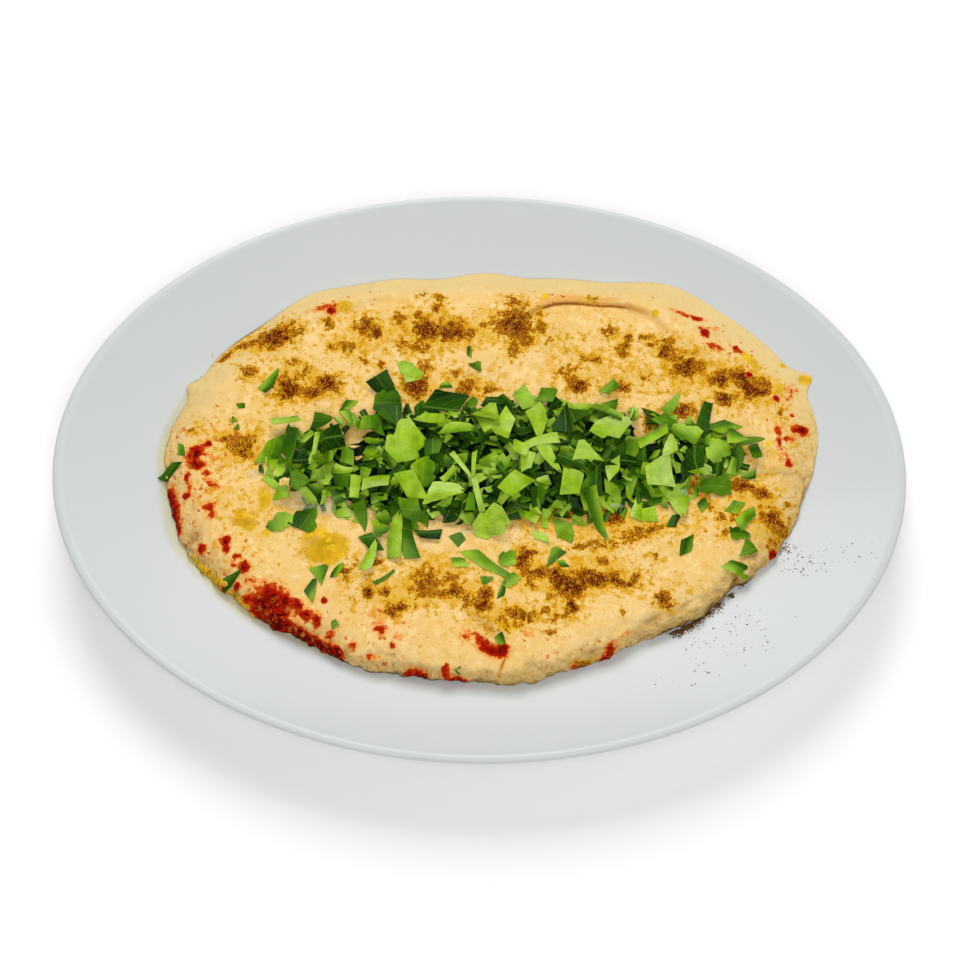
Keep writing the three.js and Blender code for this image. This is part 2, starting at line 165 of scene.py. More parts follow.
# Dusted spice.
CUMIN = (
    (-72.5, 49.6, 5.6, 3.6, 12, 0.95), (-83, 47.6, 4.4, 1.1, 30, 0.7), (-89.8, 42.4, 2.6, 0.8, 45, 0.7),
    (-20, 53, 3.6, 3.6, 0, 1), (-22.7, 59.3, 1.3, 1.6, 0, 0.7), (-10.5, 53, 4.6, 3.6, 0, 0.75),
    (-12, 51.5, 2, 2, 0, 0.8), (-5, 51, 2.4, 2, 0, 0.6), (-16, 53, 2, 2, 0, 0.5),
    (-41, 54.5, 3.2, 3.2, 0, 0.7), (-37, 51, 1.9, 2.3, 0, 0.8), (-15, 66, 1.4, 1.5, 0, 0.6),
    (-21, 68, 1.4, 1.1, 0, 0.5), (-16, 62, 1.4, 1.9, 0, 0.6), (-67, 55, 1.2, 1.3, 0, 0.5),
    (-64, 52, 1.7, 1.5, 0, 0.5), (-54, 55.6, 2, 2.2, 0, 0.6), (-48, 46.6, 2.4, 2.2, 0, 0.5),
    (-29, 57, 1.7, 3.3, 0, 0.5), (-52.7, 44.8, 1.1, 1.1, 0, 0.5), (-46.3, 45.2, 1.6, 1.4, 0, 0.6),
    (-66, 39, 2.6, 1.5, 35, 0.45), (-40.8, 40.5, 1.8, 1.6, 0, 0.4), (-81.3, 35.3, 2.6, 2.2, 0, 0.7),
    (-67, 29.3, 4.1, 3.6, 0, 1), (-53.3, 31.3, 3.7, 2.8, 0, 1), (-58.5, 28, 2.4, 1.3, 0, 0.9),
    (-61.3, 35.5, 2, 2.2, 0, 0.5), (-24, 46, 6.8, 2.6, 0, 0.4), (-20, 38, 2.5, 2.6, 0, 0.5),
    (-35, 39, 1.4, 1.5, 0, 0.5), (-22.5, 30.5, 4, 4, 0, 1), (-5, 31, 2.6, 2.8, 0, 0.7),
    (2.5, 30, 3, 2, 0, 0.45), (-9.7, 35.7, 1.5, 1.3, 0, 0.5), (-99, 13, 1.4, 1.5, 0, 0.5),
    (-82.5, 8, 5.4, 3.4, 0, 0.6), (-81, 4.6, 2, 1.4, 0, 0.85), (-87.4, 9.4, 1.7, 1, 0, 0.6),
    (11.7, 55.8, 6.2, 6.4, 0, 0.8), (15, 49.3, 2.2, 2.4, 0, 0.7), (2.2, 55, 2.4, 1.6, 0, 0.35),
    (21.8, 54, 1.5, 2.2, 0, 0.45), (23.9, 49.1, 1.3, 1.2, 0, 0.45), (21.2, 60.2, 1.3, 1, 0, 0.4),
    (11, 44.3, 1.8, 2.6, 0, 0.6), (11, 66, 2, 1.5, 0, 0.5), (30, 38, 5, 3, 0, 0.35),
    (34, 32.2, 3.2, 2.4, 0, 0.85), (39, 66.4, 2.6, 1, 0, 0.45), (45.3, 54, 3.2, 2.4, 0, 0.45),
    (52.3, 51, 1.4, 1.2, 0, 0.75), (50, 45.2, 2.6, 2.2, 0, 0.6), (50.2, 48, 1.6, 1.2, 0, 0.6),
    (40.9, 41.2, 1.5, 1.5, 0, 0.6), (36, 42, 1.3, 0.9, 0, 0.4), (64.8, 46.8, 2.9, 3, 0, 0.6),
    (64.5, 44.3, 1.8, 1.3, 0, 0.8), (57.2, 51, 2, 0.9, -20, 0.6), (61.3, 51.7, 1.6, 0.9, 0, 0.4),
    (59.6, 47.6, 0.7, 0.7, 0, 0.8), (71.5, 38.9, 3.1, 2.6, 0, 1), (70, 41, 4.5, 4, 0, 0.35),
    (76, 40, 3.5, 2.5, -30, 0.3), (83.3, 34.2, 2.7, 2.8, 0, 0.9), (91, 35, 4.4, 2.6, -20, 0.85),
    (94, 30.3, 3.2, 1.5, -25, 1), (98.6, 32, 2.4, 3, 0, 0.6), (97.5, 29, 2.2, 1, 0, 0.8),
    (85, 27, 2.9, 1.9, 0, 1), (49.5, 31, 2.6, 1.6, 0, 0.7), (57.7, 35.2, 2.4, 1.8, 0, 0.3),
    (70.5, 22.8, 3.9, 2, 0, 0.95), (58, 18, 2.4, 2.6, 0, 0.6), (103.8, 22, 1.2, 2, 0, 0.4),
    (92.5, 27.5, 2.6, 2.2, 0, 0.3), (-17, -45, 4.7, 4.2, 0, 0.6), (-17, -39.5, 3.5, 3, 0, 0.35),
    (-8, -41.5, 3.4, 3, 0, 0.4), (-8, -46.5, 3.2, 1.6, 0, 0.7), (-36.5, -47, 1.9, 1.6, 0, 0.75),
    (-30.8, -47.2, 1.5, 1.4, 0, 0.8), (-26.4, -52.4, 4.2, 1.6, 12, 0.6), (-28.6, -54.2, 1.4, 1, 0, 0.7),
    (2, -47.3, 2.3, 2.6, 0, 0.75), (1.6, -51.6, 1.8, 1.5, 0, 1), (-3.2, -49.5, 2.6, 2.2, 0, 0.5),
    (-44.5, -39.5, 1.6, 1.2, 0, 0.7), (-44.2, -42, 1.7, 1.1, 0, 0.4), (-40.8, -37, 0.9, 1.4, 0, 0.6),
    (-33.5, -36.4, 1.7, 1.4, 0, 0.6), (28.3, -42.6, 5, 2.8, -40, 1), (33, -44.5, 2.5, 1.8, 0, 0.8),
    (37.5, -40.6, 4.4, 2.4, -5, 1), (42, -41, 1.6, 1.2, 0, 0.9), (15, -35, 1.9, 4, 0, 0.8),
    (20, -39, 4, 1.2, 5, 0.85), (17, -32, 2.5, 1, 0, 0.6), (48.8, -42, 3.6, 1.6, 0, 0.75),
    (45.5, -40, 1, 2.2, 0, 0.7), (52.5, -40.2, 1, 1.6, 0, 0.6), (31.2, -51.2, 1.8, 2.4, 0, 0.9),
    (16.5, -54.6, 3.2, 2.2, 0, 0.55), (24.3, -48, 2.4, 2, 0, 0.3), (22.6, -52, 1.6, 0.9, 0, 0.5),
    (61.2, -47.6, 2.6, 1.8, 0, 0.7), (63, -50, 1.5, 0.9, 0, 0.6), (12.3, -53.6, 2.8, 1.8, 0, 0.55),
    (9.5, -58, 4.5, 2.6, 0, 0.3), (42.1, -34.4, 1.5, 1, 0, 0.6), (59.4, -33, 1.3, 1.2, 0, 0.5),
    (26.9, -54.8, 2.4, 1.2, 10, 0.5), (24.2, -60, 1.8, 1, 0, 0.5), (47.9, -53, 1.3, 1, 0, 0.35),
    (17.5, -43.5, 1.8, 1.5, 0, 0.45), (90, -5, 3.4, 1.3, -30, 0.85), (96.7, -8.8, 2.6, 1.2, 0, 0.85),
    (87.5, -7, 2.4, 1, 0, 0.6), (93, -7, 2, 0.9, -15, 0.6), (99.3, -17.6, 2.4, 3, 0, 0.9),
    (102.5, -21.3, 1.8, 1.7, 0, 0.8), (104.8, -12, 1, 0.8, 0, 0.5), (99, -27, 2, 2.5, 0, 0.4),
    (96, -14.5, 1.2, 2.5, 0, 0.4), (46, -18.5, 3.4, 2.2, 0, 0.85), (24, -15, 4.5, 2.6, 20, 0.5),
    (55.5, -23, 8, 1.8, 12, 0.55), (50, -27, 5, 1.2, 15, 0.4), (38, -29, 6.5, 1.5, 5, 0.5),
    (26, -11, 7.5, 6.7, 0, 0.4), (37, -13, 3.4, 3, 0, 0.4), (78, -14, 1.8, 1.4, 0, 0.4),
    (74, -6.3, 3, 3.5, 0, 0.4), (82, -17.8, 1.4, 1.2, 0, 0.5), (85.9, -18.7, 1.5, 1.5, 0, 0.5),
    (82.7, -23.5, 1.3, 1.8, 0, 0.4),
)
PAPRIKA = (
    (-97.5, 3.3, 3.2, 2.2, 45, 1), (-97.8, -1, 1.6, 1, 0, 0.9), (-95.6, -1.2, 1.2, 1.2, 0, 0.9),
    (-93.4, 7.2, 1.2, 0.9, 30, 0.8), (-91, 1, 2.4, 1.9, 0, 0.25), (-84, 10, 5.5, 4, 0, 0.1),
    (-56, 61.5, 5.5, 1, 18, 0.45), (-53.3, 60, 1.7, 1.2, 0, 0.85), (78.8, 52.1, 1.2, 1.5, 0, 1),
    (77.4, 54.4, 0.9, 1, 0, 0.4), (82.9, 54.4, 1.2, 0.8, 0, 0.35), (72, 60.3, 6.5, 0.8, -15, 0.45),
    (76.7, 58.8, 1.2, 0.5, 0, 0.8), (82.3, 46.8, 2.8, 1, -18, 0.6), (89.6, 47, 0.6, 0.6, 0, 0.9),
    (90.3, 45.6, 1.5, 0.8, -30, 0.5), (111.3, 15.4, 2, 1.4, -10, 1), (108.4, 15.6, 1, 1.6, 0, 0.5),
    (103.3, 15, 1.4, 1.8, 0, 0.45), (102.8, 10.5, 0.6, 4, 0, 0.55), (106.2, 11.4, 1.6, 1.2, 0, 0.5),
    (102.8, 27.3, 0.9, 0.7, 0, 0.9), (108.2, 21, 0.6, 0.5, 0, 0.7), (105.8, 2, 0.9, 1.2, 0, 0.8),
    (104.8, 4.5, 1.2, 1.5, 0, 0.4), (108.7, 31, 1.9, 1.6, 0, 0.3), (107.5, 28, 1.5, 1, 0, 0.3),
    (93.6, 35.6, 0.8, 0.8, 0, 1), (-106, -12, 2.2, 3.8, 0, 1), (-105, -17, 1.8, 2.6, 10, 0.9),
    (-103, -16, 0.8, 1.5, 0, 0.7), (-99.6, -5, 1, 1.8, 0, 0.6), (-98.8, -8.4, 0.7, 1.4, 0, 0.5),
    (-99.6, -12, 1.1, 0.9, 0, 0.95), (-91.3, -16.3, 2, 1.4, 0, 0.7), (-90.3, -19.6, 1.6, 1.4, 0, 0.5),
    (-93, -4, 1.4, 1.5, 0, 0.5), (-90.5, -8, 2.6, 1.2, -35, 0.5), (-85, -28.8, 1.5, 1.6, 0, 1),
    (-84.6, -32, 1, 1.2, 0, 0.8), (-93, -31, 1.2, 1.3, 0, 0.9), (-78, -38.6, 1.5, 1.6, 0, 1),
    (-80.6, -34.8, 1.2, 0.9, 0, 0.6), (-82, -37.4, 0.7, 1, 0, 0.5), (-85.5, -45.2, 0.9, 1.3, 0, 0.8),
    (-80.3, -44.3, 1.1, 1, 0, 0.8), (-75.5, -43.4, 2, 1.2, 0, 0.4), (-69, -49.8, 5, 5.2, 0, 1),
    (-66.5, -56, 4.2, 4.2, 0, 1), (-77, -48.5, 1.4, 1.2, 0, 0.7), (-73.5, -50.5, 1.8, 2.4, 0, 0.8),
    (-63.5, -51.4, 1.6, 2.6, 0, 0.9), (-57.6, -61.6, 7.5, 1.5, -33, 1), (-50, -65.8, 3.4, 1.8, -20, 1),
    (-46.6, -66.4, 1.4, 1, -30, 1), (-59.4, -52.2, 1.3, 1.6, -20, 0.9), (-60.4, -50.6, 0.8, 0.8, 0, 0.8),
    (-56.6, -55.2, 1.8, 1.6, 0, 0.85), (-53, -57, 1, 2.2, 0, 0.85), (-50.7, -50, 0.6, 0.7, 0, 1),
    (-48.6, -61.4, 1.4, 0.9, 30, 0.6), (-40.8, -65.2, 1, 1.2, 0, 0.6), (-32, -60, 2, 1.4, 0, 0.6),
    (-33, -55, 3.4, 2.6, 0, 0.2), (-25.5, -62.5, 1.4, 1.2, 0, 0.35), (-27.6, -65.4, 0.9, 0.7, 0, 0.6),
    (-35, -68.8, 1.4, 0.9, 0, 0.5), (-10.2, -73.4, 1, 1.6, 0, 0.8), (-6.2, -75.2, 2.4, 0.7, 0, 1),
    (-18.3, -74, 2, 0.8, -5, 0.7), (3.2, -63.4, 5.6, 0.8, -38, 0.7), (4, -66, 4, 1.3, -30, 0.95),
    (-4.2, -61, 1.4, 1.6, 0, 0.4), (8.5, -65.8, 1.7, 2, 0, 1), (105.5, -24, 2.3, 0.8, 60, 1),
    (99.3, -30, 0.9, 1.2, 0, 1), (112.2, -9, 0.6, 1.3, 0, 0.9), (43.8, -64.4, 2.3, 1, 48, 0.7),
    (42.3, -67, 1.2, 0.6, 0, 1), (32.2, -70.4, 1.2, 1.2, 0, 0.4), (48.8, -59.4, 1, 0.6, 20, 0.4),
    (16.8, -60.7, 1.5, 1, 0, 0.3),
)
# Wide areas with a thin dusting of cumin, and with a thin sprinkling of paprika.
DUSTED = (
    (59, 33, 25, 7, 0, 0.5), (38, 46, 14, 8, 0, 0.35), (77, 39, 14, 7, 0, 0.5), (92, 29, 14, 8, 0, 0.55),
    (-4, 32, 20, 5, 0, 0.45), (-15, 51, 20, 8, 0, 0.5), (-46, 47, 17, 7, 0, 0.35), (-59, 29, 17, 8, 0, 0.5),
    (-81, 44, 10, 4, 0, 0.4), (-82, 6, 12, 9, 0, 0.4), (-85, -13, 8, 7, 0, 0.3), (-13, -43, 24, 9, 0, 0.55),
    (37, -39, 20, 7, 0, 0.6), (54, -22, 20, 5, 0, 0.8), (26, -18, 17, 7, 0, 0.9), (95, -14, 9, 13, 0, 0.5),
    (11, -55, 14, 4, 0, 0.4), (71, -44, 14, 4, 0, 0.25), (-32, -49, 14, 6, 0, 0.25),
    (107, 12, 7, 11, 0, 0.3), (-88, 5, 16, 20, 0, 0.2), (-80, -35, 20, 9, -30, 0.2), (76, 6, 20, 4, 0, 0.4),
    (79, -12, 10, 7, 0, 0.6), (-53, -30, 9.5, 7.5, 0, 0.4), (-79, -21, 6, 4, 0, 0.4),
    (-65, -16, 6, 8, 0, 0.4),
)
SPRINKLED = (
    (-100, -8, 8, 24, 8, 0.9), (-88, -36, 16, 9, -42, 0.8), (-62, -56, 18, 7, -28, 0.9),
    (-32, -62, 22, 8, -12, 0.5), (-90, 8, 8, 12, 0, 0.5), (-56, 62, 14, 4, 18, 0.6),
    (86, 50, 18, 5, -38, 0.5), (106, 12, 6, 14, 0, 0.4), (30, -64, 16, 8, 0, 0.3), (-24, 34, 12, 8, 0, 0.3),
    (30, 66, 26, 3, 4, 0.4),
)
# Golden stains where oil has soaked in.
OIL_STAINS = (
    (-52, -30, 8.5, 6.5, -10, 1), (-79, -21.5, 4.5, 2.6, -40, 1), (-73, -12.6, 2.4, 4.2, 0, 0.8),
    (-86, 32, 5, 2, 10, 0.3), (-50, 61.5, 3.4, 2.4, 0, 0.8), (105.9, 40.8, 1.2, 0.7, -40, 0.6),
    (61.7, 59.7, 1, 1.4, 0, 1), (10, -58, 4, 2.6, 0, 0.7), (104.3, 31.6, 1.2, 1.5, 0, 0.7),
    (113, 35, 2.8, 1.6, 0, 0.8), (94.7, 42.3, 5, 1.5, -50, 0.8), (99, 9.3, 0.7, 0.9, 0, 0.8),
    (-71.2, -25.6, 2, 1.6, 0, 0.5), (22.3, 66.3, 1.6, 1.5, 0, 0.9),
)
# Bands along the dip's edge: from, to, width, strength.
PAPRIKA_BANDS = ((216, 222, 1.6, 0.7), (222, 237, 1.7, 1.0), (186, 194, 2.2, 0.9), (252, 257, 1.6, 0.7))
CUMIN_BANDS = ((143, 152, 0.7, 0.8), (294, 300, 1.4, 0.4))
OIL_BANDS = ((168, 192, 1.0, 0.4), (198, 220, 2.4, 0.65))
# The dark line at the dip's foot, partly painted contact shadow and partly spice: from, to, height, strength.
SHADOW_AND_SPICE_LINES = ((224, 268, 1.0, 0.95), (138, 156, 1.2, 0.8), (268, 316, 0.5, 0.3), (316, 338, 2.6, 0.98))
FOOT_SHADE_HEIGHT = 7.5  # painted shade makes the dip duller up to about this height at its foot
# Spice that fell on the platter: x, y, spread, grains.
SPILLS = (
    (70, -53.5, 2.4, 900), (66.5, -56, 2.2, 500), (73, -51.5, 2.2, 500), (78, -49, 2.6, 90),
    # The next rows put grains along the dip's lower right edge: partly spilled spice, partly a dark line that
    # stands in for contact shadow.
    (84.5, -43, 1.6, 160), (80.5, -46.5, 1.8, 220), (76.5, -49.5, 1.8, 260), (88, -39.5, 1.5, 60),
    (103.5, -27, 3.2, 110), (108, -33, 7, 40), (86, -58, 13, 50), (120, -31, 9, 26), (73, -66, 14, 30),
    (-99, 35, 1.6, 8), (-91, 43, 2.2, 60),
)

# Parsley on the heap: x, y, length, width, turn, tone from dark 0 to light 1, cut.
HEAP_LEAVES = (
    (-71, 5, 11, 8, 70, 0.5, "cut"), (-65, 6, 13, 5, 80, 0.3, "cut"), (-67, 15, 10, 4, 10, 0.8, "strip"),
    (-61, 2, 6, 6, 0, 0.1, "cut"), (-56, 6, 10, 2, 90, 0.8, "strip"), (-50, 8, 9, 10, 0, 0.1, "cut"),
    (-54, 15, 7, 7, 0, 0.3, "tip"), (-51, 1, 6, 3, 90, 0.5, "cut"), (-45, 1, 7, 5, 90, 0.5, "cut"),
    (-46, -4, 7, 3, 0, 0.8, "strip"), (-55, -6, 5, 4, 0, 0.5, "cut"), (-61, -8, 7, 7, 0, 0.5, "lobed"),
    (-67, -11, 6, 5, 0, 0.7, "cut"), (-47, -7, 7, 6, 0, 0.3, "cut"), (-38, 14, 8, 7, 90, 0.5, "cut"),
    (-33, 29, 11, 8, -45, 0.1, "tip"), (-32, 24, 10, 9, 0, 0.3, "lobed"), (-31, 17, 11, 9, 90, 0.3, "cut"),
    (-25, 6, 17, 13, 60, 0.8, "notch"), (-16, 15, 12, 5, -15, 0.8, "cut"), (-8, 11, 12, 5, -10, 0.8, "tip"),
    (-16, 5, 8, 7, 90, 0.3, "cut"), (-12, 25, 17, 8, -5, 0.1, "cut"), (3, 16, 10, 9, 30, 0.7, "cut"),
    (-19, -5, 11, 9, 90, 0.5, "lobed"), (-23, -10, 11, 10, 0, 0.8, "cut"),
    (-12, -12, 14, 7, -5, 0.9, "tip"), (-5.7, -2.9, 12.5, 1.8, -51, 0.9, "stem"),
    (-2, -2.8, 10, 1.7, -91, 0.9, "stem"), (-0.2, -13, 13, 2.4, -72, 0.95, "stem"),
    (-10, -6, 7, 3, 50, 0.7, "strip"), (-35, -8, 10, 4, 10, 0.8, "strip"),
    (-42, -10, 8, 4, 90, 0.8, "strip"), (-37, 3, 5, 3, 0, 0.5, "cut"), (-32, -20, 5, 5, 0, 0.5, "lobed"),
    (-33, -24, 6, 6, 0, 0.5, "lobed"), (-28, -26, 18, 6, 85, 0.8, "tip"),
    (-24, -27, 18, 6, -75, 0.3, "strip"), (-40, -19, 11, 5, 90, 0.5, "cut"),
    (-36, -29, 8, 7, 0, 0.3, "cut"), (-36, -35, 13, 4, 75, 0.8, "tip"), (-17, -26, 10, 4, 0, 0.1, "cut"),
    (-23, -18, 9, 7, 0, 0.5, "cut"), (-3, -15, 7, 3, 90, 0.5, "strip"), (4, -22, 12, 10, 20, 0.9, "lobed"),
    (2, 19, 10, 9, 0, 0.8, "cut"), (8, 13, 11, 10, -55, 0.8, "cut"), (5, 25, 10, 4, -10, 0.1, "tip"),
    (15, 26, 10, 7, -55, 0.7, "cut"), (20, 15, 14, 7, -75, 0.8, "tip"), (23, 27, 8, 6, 0, 0.5, "cut"),
    (28, 16, 13, 7, 90, 0.1, "cut"), (33, 19, 10, 7, -70, 0.3, "cut"), (45, 13, 14, 10, -10, 0.9, "notch"),
    (44, 20, 13, 4, -35, 0.5, "strip"), (45, 30, 7, 4, 35, 0.5, "cut"), (21, 7, 12, 4, 15, 0.9, "strip"),
    (14, 4, 7, 6, 90, 0.8, "cut"), (37, 3, 11, 7, -10, 0.8, "cut"), (48, 3, 12, 10, 0, 0.1, "cut"),
    (24, 0, 12, 5, -60, 0.8, "tip"), (31, 0, 12, 5, -15, 0.3, "cut"), (16, -1, 9, 5, 90, 0.9, "cut"),
    (12, -9, 12, 8, 50, 0.7, "cut"), (31, -8, 9, 10, 0, 0.8, "cut"), (38, -7, 11, 8, 90, 0.3, "cut"),
    (40, -19, 18, 5, -70, 0.55, "tip"), (45, -3, 9, 5, 90, 0.9, "cut"), (61, -3, 11, 10, 90, 0.9, "cut"),
    (68, -12, 14, 8, -80, 0.8, "tip"), (71, 12, 12, 8, -10, 0.7, "notch"), (64, 16, 10, 6, -35, 0.5, "cut"),
    (67, 25, 9, 4, 55, 0.7, "tip"), (77, 19, 14, 5, 80, 0.3, "strip"), (84, 16, 12, 6, 10, 0.5, "cut"),
    (59, 10, 13, 4, 35, 0.7, "strip"), (65, 6, 11, 5, 90, 0.9, "tip"), (73, 2, 11, 8, 90, 0.1, "cut"),
    (81, 5, 9, 8, 50, 0.7, "lobed"), (88, 11, 8, 7, 0, 0.5, "cut"), (93, 9, 9, 4, -10, 0.5, "tip"),
    (94, 5, 5, 5, 0, 0.3, "cut"), (92, -2, 5, 3, 0, 0.5, "strip"), (86, 0, 5, 3, 80, 0.7, "strip"),
    (81, -6, 11, 7, 0, 0.5, "lobed"), (52, 5, 7, 5, 90, 0.5, "cut"), (55, 3, 6, 4, 90, 0.3, "cut"),
)
# Loose parsley on the dip, as above.
LOOSE_LEAVES = (
    (-73, 32, 10.3, 4.1, 59, 0.5, "tip"), (-25, 36, 10.6, 6.6, -52, 0.8, "notch"),
    (-4, 44, 4.7, 2.1, 82, 0.4, "tip"), (-2, 39, 5.3, 3.1, -21, 0.4, "cut"),
    (-46, 23, 7.2, 3.3, 50, 0.5, "cut"), (-12, 31, 4.9, 2.3, 1, 0.5, "cut"),
    (-45, -19, 2.7, 2.6, 1, 0.5, "cut"), (-58, -19, 12.1, 9.1, 64, 0.35, "lobed"),
    (-67, -21, 9.6, 6.5, 44, 0.6, "lobed"), (-52, -40, 7.8, 6, -60, 0.5, "cut"),
    (-47, -39, 7, 2.8, 64, 0.5, "tip"), (-55, -46, 7.9, 4.1, 64, 0.4, "tip"),
    (-31, -42, 8.4, 1.4, 38, 0.4, "strip"), (-83, 22, 3.1, 2.3, 12, 0.4, "cut"),
    (-106, -2, 9.5, 4, 48, 0.3, "cut"), (-102.6, 5, 6, 2.6, 100, 0.5, "cut"),
    (-85, 17, 2.4, 2.3, 1, 0.5, "cut"), (-84, 14, 2.1, 1.9, 1, 0.5, "cut"),
    (-82, -42, 7.9, 3.6, 33, 0.3, "tip"), (-47, -58, 3, 2.8, 22, 0.5, "cut"),
    (3, -36.5, 20, 4.6, -37, 0.6, "tip"), (-6, -36, 6, 3.9, 6, 0.7, "cut"),
    (-7, -27, 5.5, 4.9, 43, 0.4, "cut"), (3, -42, 4.7, 3.2, 11, 0.5, "lobed"),
    (10.5, -43, 5, 1.6, 40, 0.6, "strip"), (8.2, -45.5, 8, 2.4, 80, 0.35, "tip"),
    (11, -42, 6.2, 4.2, 37, 0.6, "lobed"), (10, -34, 6.7, 6.1, 17, 0.6, "notch"),
    (21, -26, 6.4, 3.6, -10, 0.9, "cut"), (29, -23, 10.1, 6.5, -76, 0.6, "cut"),
    (34, -19, 5.4, 4.4, -10, 0.5, "cut"), (25, -33, 9.1, 4.5, 42, 0.5, "cut"),
    (28, -36, 4.7, 2.5, -10, 0.5, "cut"), (8, -63, 5.1, 3, -61, 0.5, "tip"),
    (-6, -73, 2.3, 1.7, 22, 0.4, "cut"), (87, -14, 7, 4.7, 60, 0.6, "cut"),
    (90, -18, 11.3, 4.4, 49, 0.6, "cut"), (88, -24, 7.7, 4.8, -5, 0.4, "lobed"),
    (90, -29, 6.9, 5.3, 22, 0.5, "cut"), (70, -28, 9.1, 4.3, 79, 0.3, "cut"),
    (87, -36, 9.9, 4.7, -23, 0.5, "cut"), (56, -17, 9.9, 5.8, 12, 0.8, "cut"),
    (66, -19, 6.6, 3.4, 70, 0.2, "cut"), (76, -13, 5.1, 3.8, 51, 0.4, "cut"),
)
# How the knife cuts a leaflet one long: planes as x, y and the way that what is cut off lies.
CHOPS = {
    "cut": (
        ((0.16, 0, 15), (-0.2, 0, 190), (0, 0.2, 80), (0, -0.2, -100)),
        ((0.22, 0, -20), (-0.12, 0, 165), (0, -0.05, -85)),
        ((0.1, 0.1, 35), (0, -0.12, -80), (-0.25, 0, 170)),
        ((0.2, 0, 10), (-0.18, 0, 150), (0, -0.1, -95)),
        ((0.05, 0, 25), (-0.32, 0, 205), (0, 0.1, 100)),
        ((0.15, 0, 20), (-0.15, 0, 170), (0, 0.15, 100), (0, -0.18, -80)),
        ((0.24, 0, -10), (-0.2, 0, 200), (0, 0.1, 85), (0, -0.22, -100)),
    ),
    "tip": (
        ((0, 0, 180),),
        ((-0.1, 0, 200), (0, -0.12, -80)),
        ((0.02, 0, 165), (0, 0.12, 95)),
    ),
    "lobed": (
        ((-0.3, 0, 180), (0.38, 0, 10)),
        ((-0.05, 0, 190),),
    ),
    "notch": (((-0.34, 0, 170), (0.3, 0, -15)),),
    "strip": (
        ((0.3, 0, 10), (-0.3, 0, 190), (0, 0.06, 88), (0, -0.06, -92)),
        ((0.32, 0, -25), (-0.25, 0, 170), (0, 0.16, 86), (0, 0.04, -90)),
    ),
}

# Clear liquid among the leaves: x, y, half length, half width, lift over the dip.
LIQUID = (
    (-10.2, -15.6, 2.7, 0.8, 2), (-5.7, -17, 2.4, 0.8, 2), (-1, -18.4, 1.2, 1.6, 1.8),
    (12.2, -14.3, 1.1, 3, 2.4), (21.4, -10.4, 1.1, 3.6, 2.6), (12.5, 1.2, 1.4, 0.8, 6.5),
    (-3.9, -24.4, 3.4, 0.8, 0.6), (0, 12.8, 1, 0.8, 6.8), (46.5, -14.5, 2.4, 1.1, 1.6),
    (69.5, -9.2, 1.7, 1.5, 2), (79.2, -10.6, 1.1, 1.1, 1.2), (-60.8, -13.1, 7.5, 3.2, -0.1),
    (-51.2, -15.2, 4.6, 3.5, -0.1), (-77.3, -3.7, 2.4, 1.6, 0.4),
)
# The film of oil round the left end: from and to in degrees, reach over the platter, depth.
OIL_FILM_FROM = 160
OIL_FILM_TO = 236
OIL_FILM_REACH = 4
OIL_FILM_DEPTH = 1.1
OIL_FILM_GRID = (160, 10)
# Oil in the two hollows: the model's name for it, x, y, half length, half width.
PUDDLES = (("oil_puddle_large", -53, -30, 7.6, 5.6), ("oil_puddle_small", -79, -21.5, 4.2, 2.6))

# Noise in the dip's finish: size of the grain in millimetres, detail, seed.
CLOUD = (22, 3, 0)
PATCH = (4.5, 3, 6)
MOTTLE = (2.6, 3, 1)
CLUMP = (2.2, 3, 2)
FINE = (0.7, 2, 3)
SPARK = (0.55, 1.5, 4)
RED_GRAIN = (1.6, 2.5, 5)

CAMERA_ELEVATION = 66
CAMERA_DISTANCE = 650
CAMERA_AIM = (0.23, -7.3, 23.85)
CAMERA_LENS = 72.068
CAMERA_SENSOR = 36
CAMERA_ROLL = 0.749
# Soft lights: azimuth from the diner's side, elevation, distance and size in metres, watts.
LIGHTS = {
    "window": (186, 46, 1.4, 0.7, 11),
    "front": (0, 58, 1.6, 1.0, 14.5),
    "side": (100, 42, 1.6, 1.0, 2.8),
}
ROOM_LIGHT = 0.2

# ---- Forms shared with the model ----


def bell(offset):
    return np.exp(-offset * offset)


def ramp(value, low, high):
    """Rises from 0 at low to 1 at high."""
    return np.clip((value - low) / (high - low), 0, 1)


def rows(x, y, z):
    return np.stack([x, y, z], axis=1)


def wavy(angle, waves):
    """1, give or take waves round a ring: how many, height and phase of each."""
    return sum((height * np.sin(count * angle + phase) for count, height, phase in waves), 1)


def platter_rise(share):
    climb = np.maximum(0, (share - WELL_SHARE) / (1 - WELL_SHARE))
    return PLATTER_FLOOR + (PLATTER_HEIGHT - PLATTER_FLOOR) * climb**RISE_POWER


def platter_top(x, y):
    return platter_rise(np.hypot(2 * x / PLATTER_LENGTH, 2 * y / PLATTER_WIDTH))


def dip_edge(angle):
    """Distance of the dip's edge from the centre in the direction of an angle in degrees."""
    ring = np.array(DIP_EDGE, dtype=float)
    turn = np.mod(angle, 360)
    step = 360 / len(ring)
    slot = np.floor(turn / step).astype(int)
    share = turn / step - slot
    a, b, c, d = (ring[(slot + shift) % len(ring)] for shift in (-1, 0, 1, 2))
    curve = 2 * b + (c - a) * share
    bend = (2 * a - 5 * b + 4 * c - d) * share**2 + (3 * b - a - 3 * c + d) * share**3
    beaks = sum(out * bell((turn - at) / spread) for at, out, spread in BEAKS)
    lumps = sum(height * np.sin(np.radians(count * turn + phase)) for count, height, phase in EDGE_LUMPS)
    return (curve + bend) / 2 + beaks + lumps


def lips_at(angle, distance):
    """Height that the spoon's lips add."""
    turn = np.mod(angle, 360)
    softer, before, fading = SOFT_FOOT
    total = 0
    for crest, height, inner, outer, start, end, fade in LIPS:
        away = distance - np.interp(turn, *crest)
        foot = inner + softer * ramp(-turn, -before, fading - before)
        across = np.where(away < 0, bell(away / foot), bell(away / outer))
        ends = ramp(turn, start - fade, start) * ramp(-turn, -end - fade, -end)
        total = total + height * across * ends
    return total


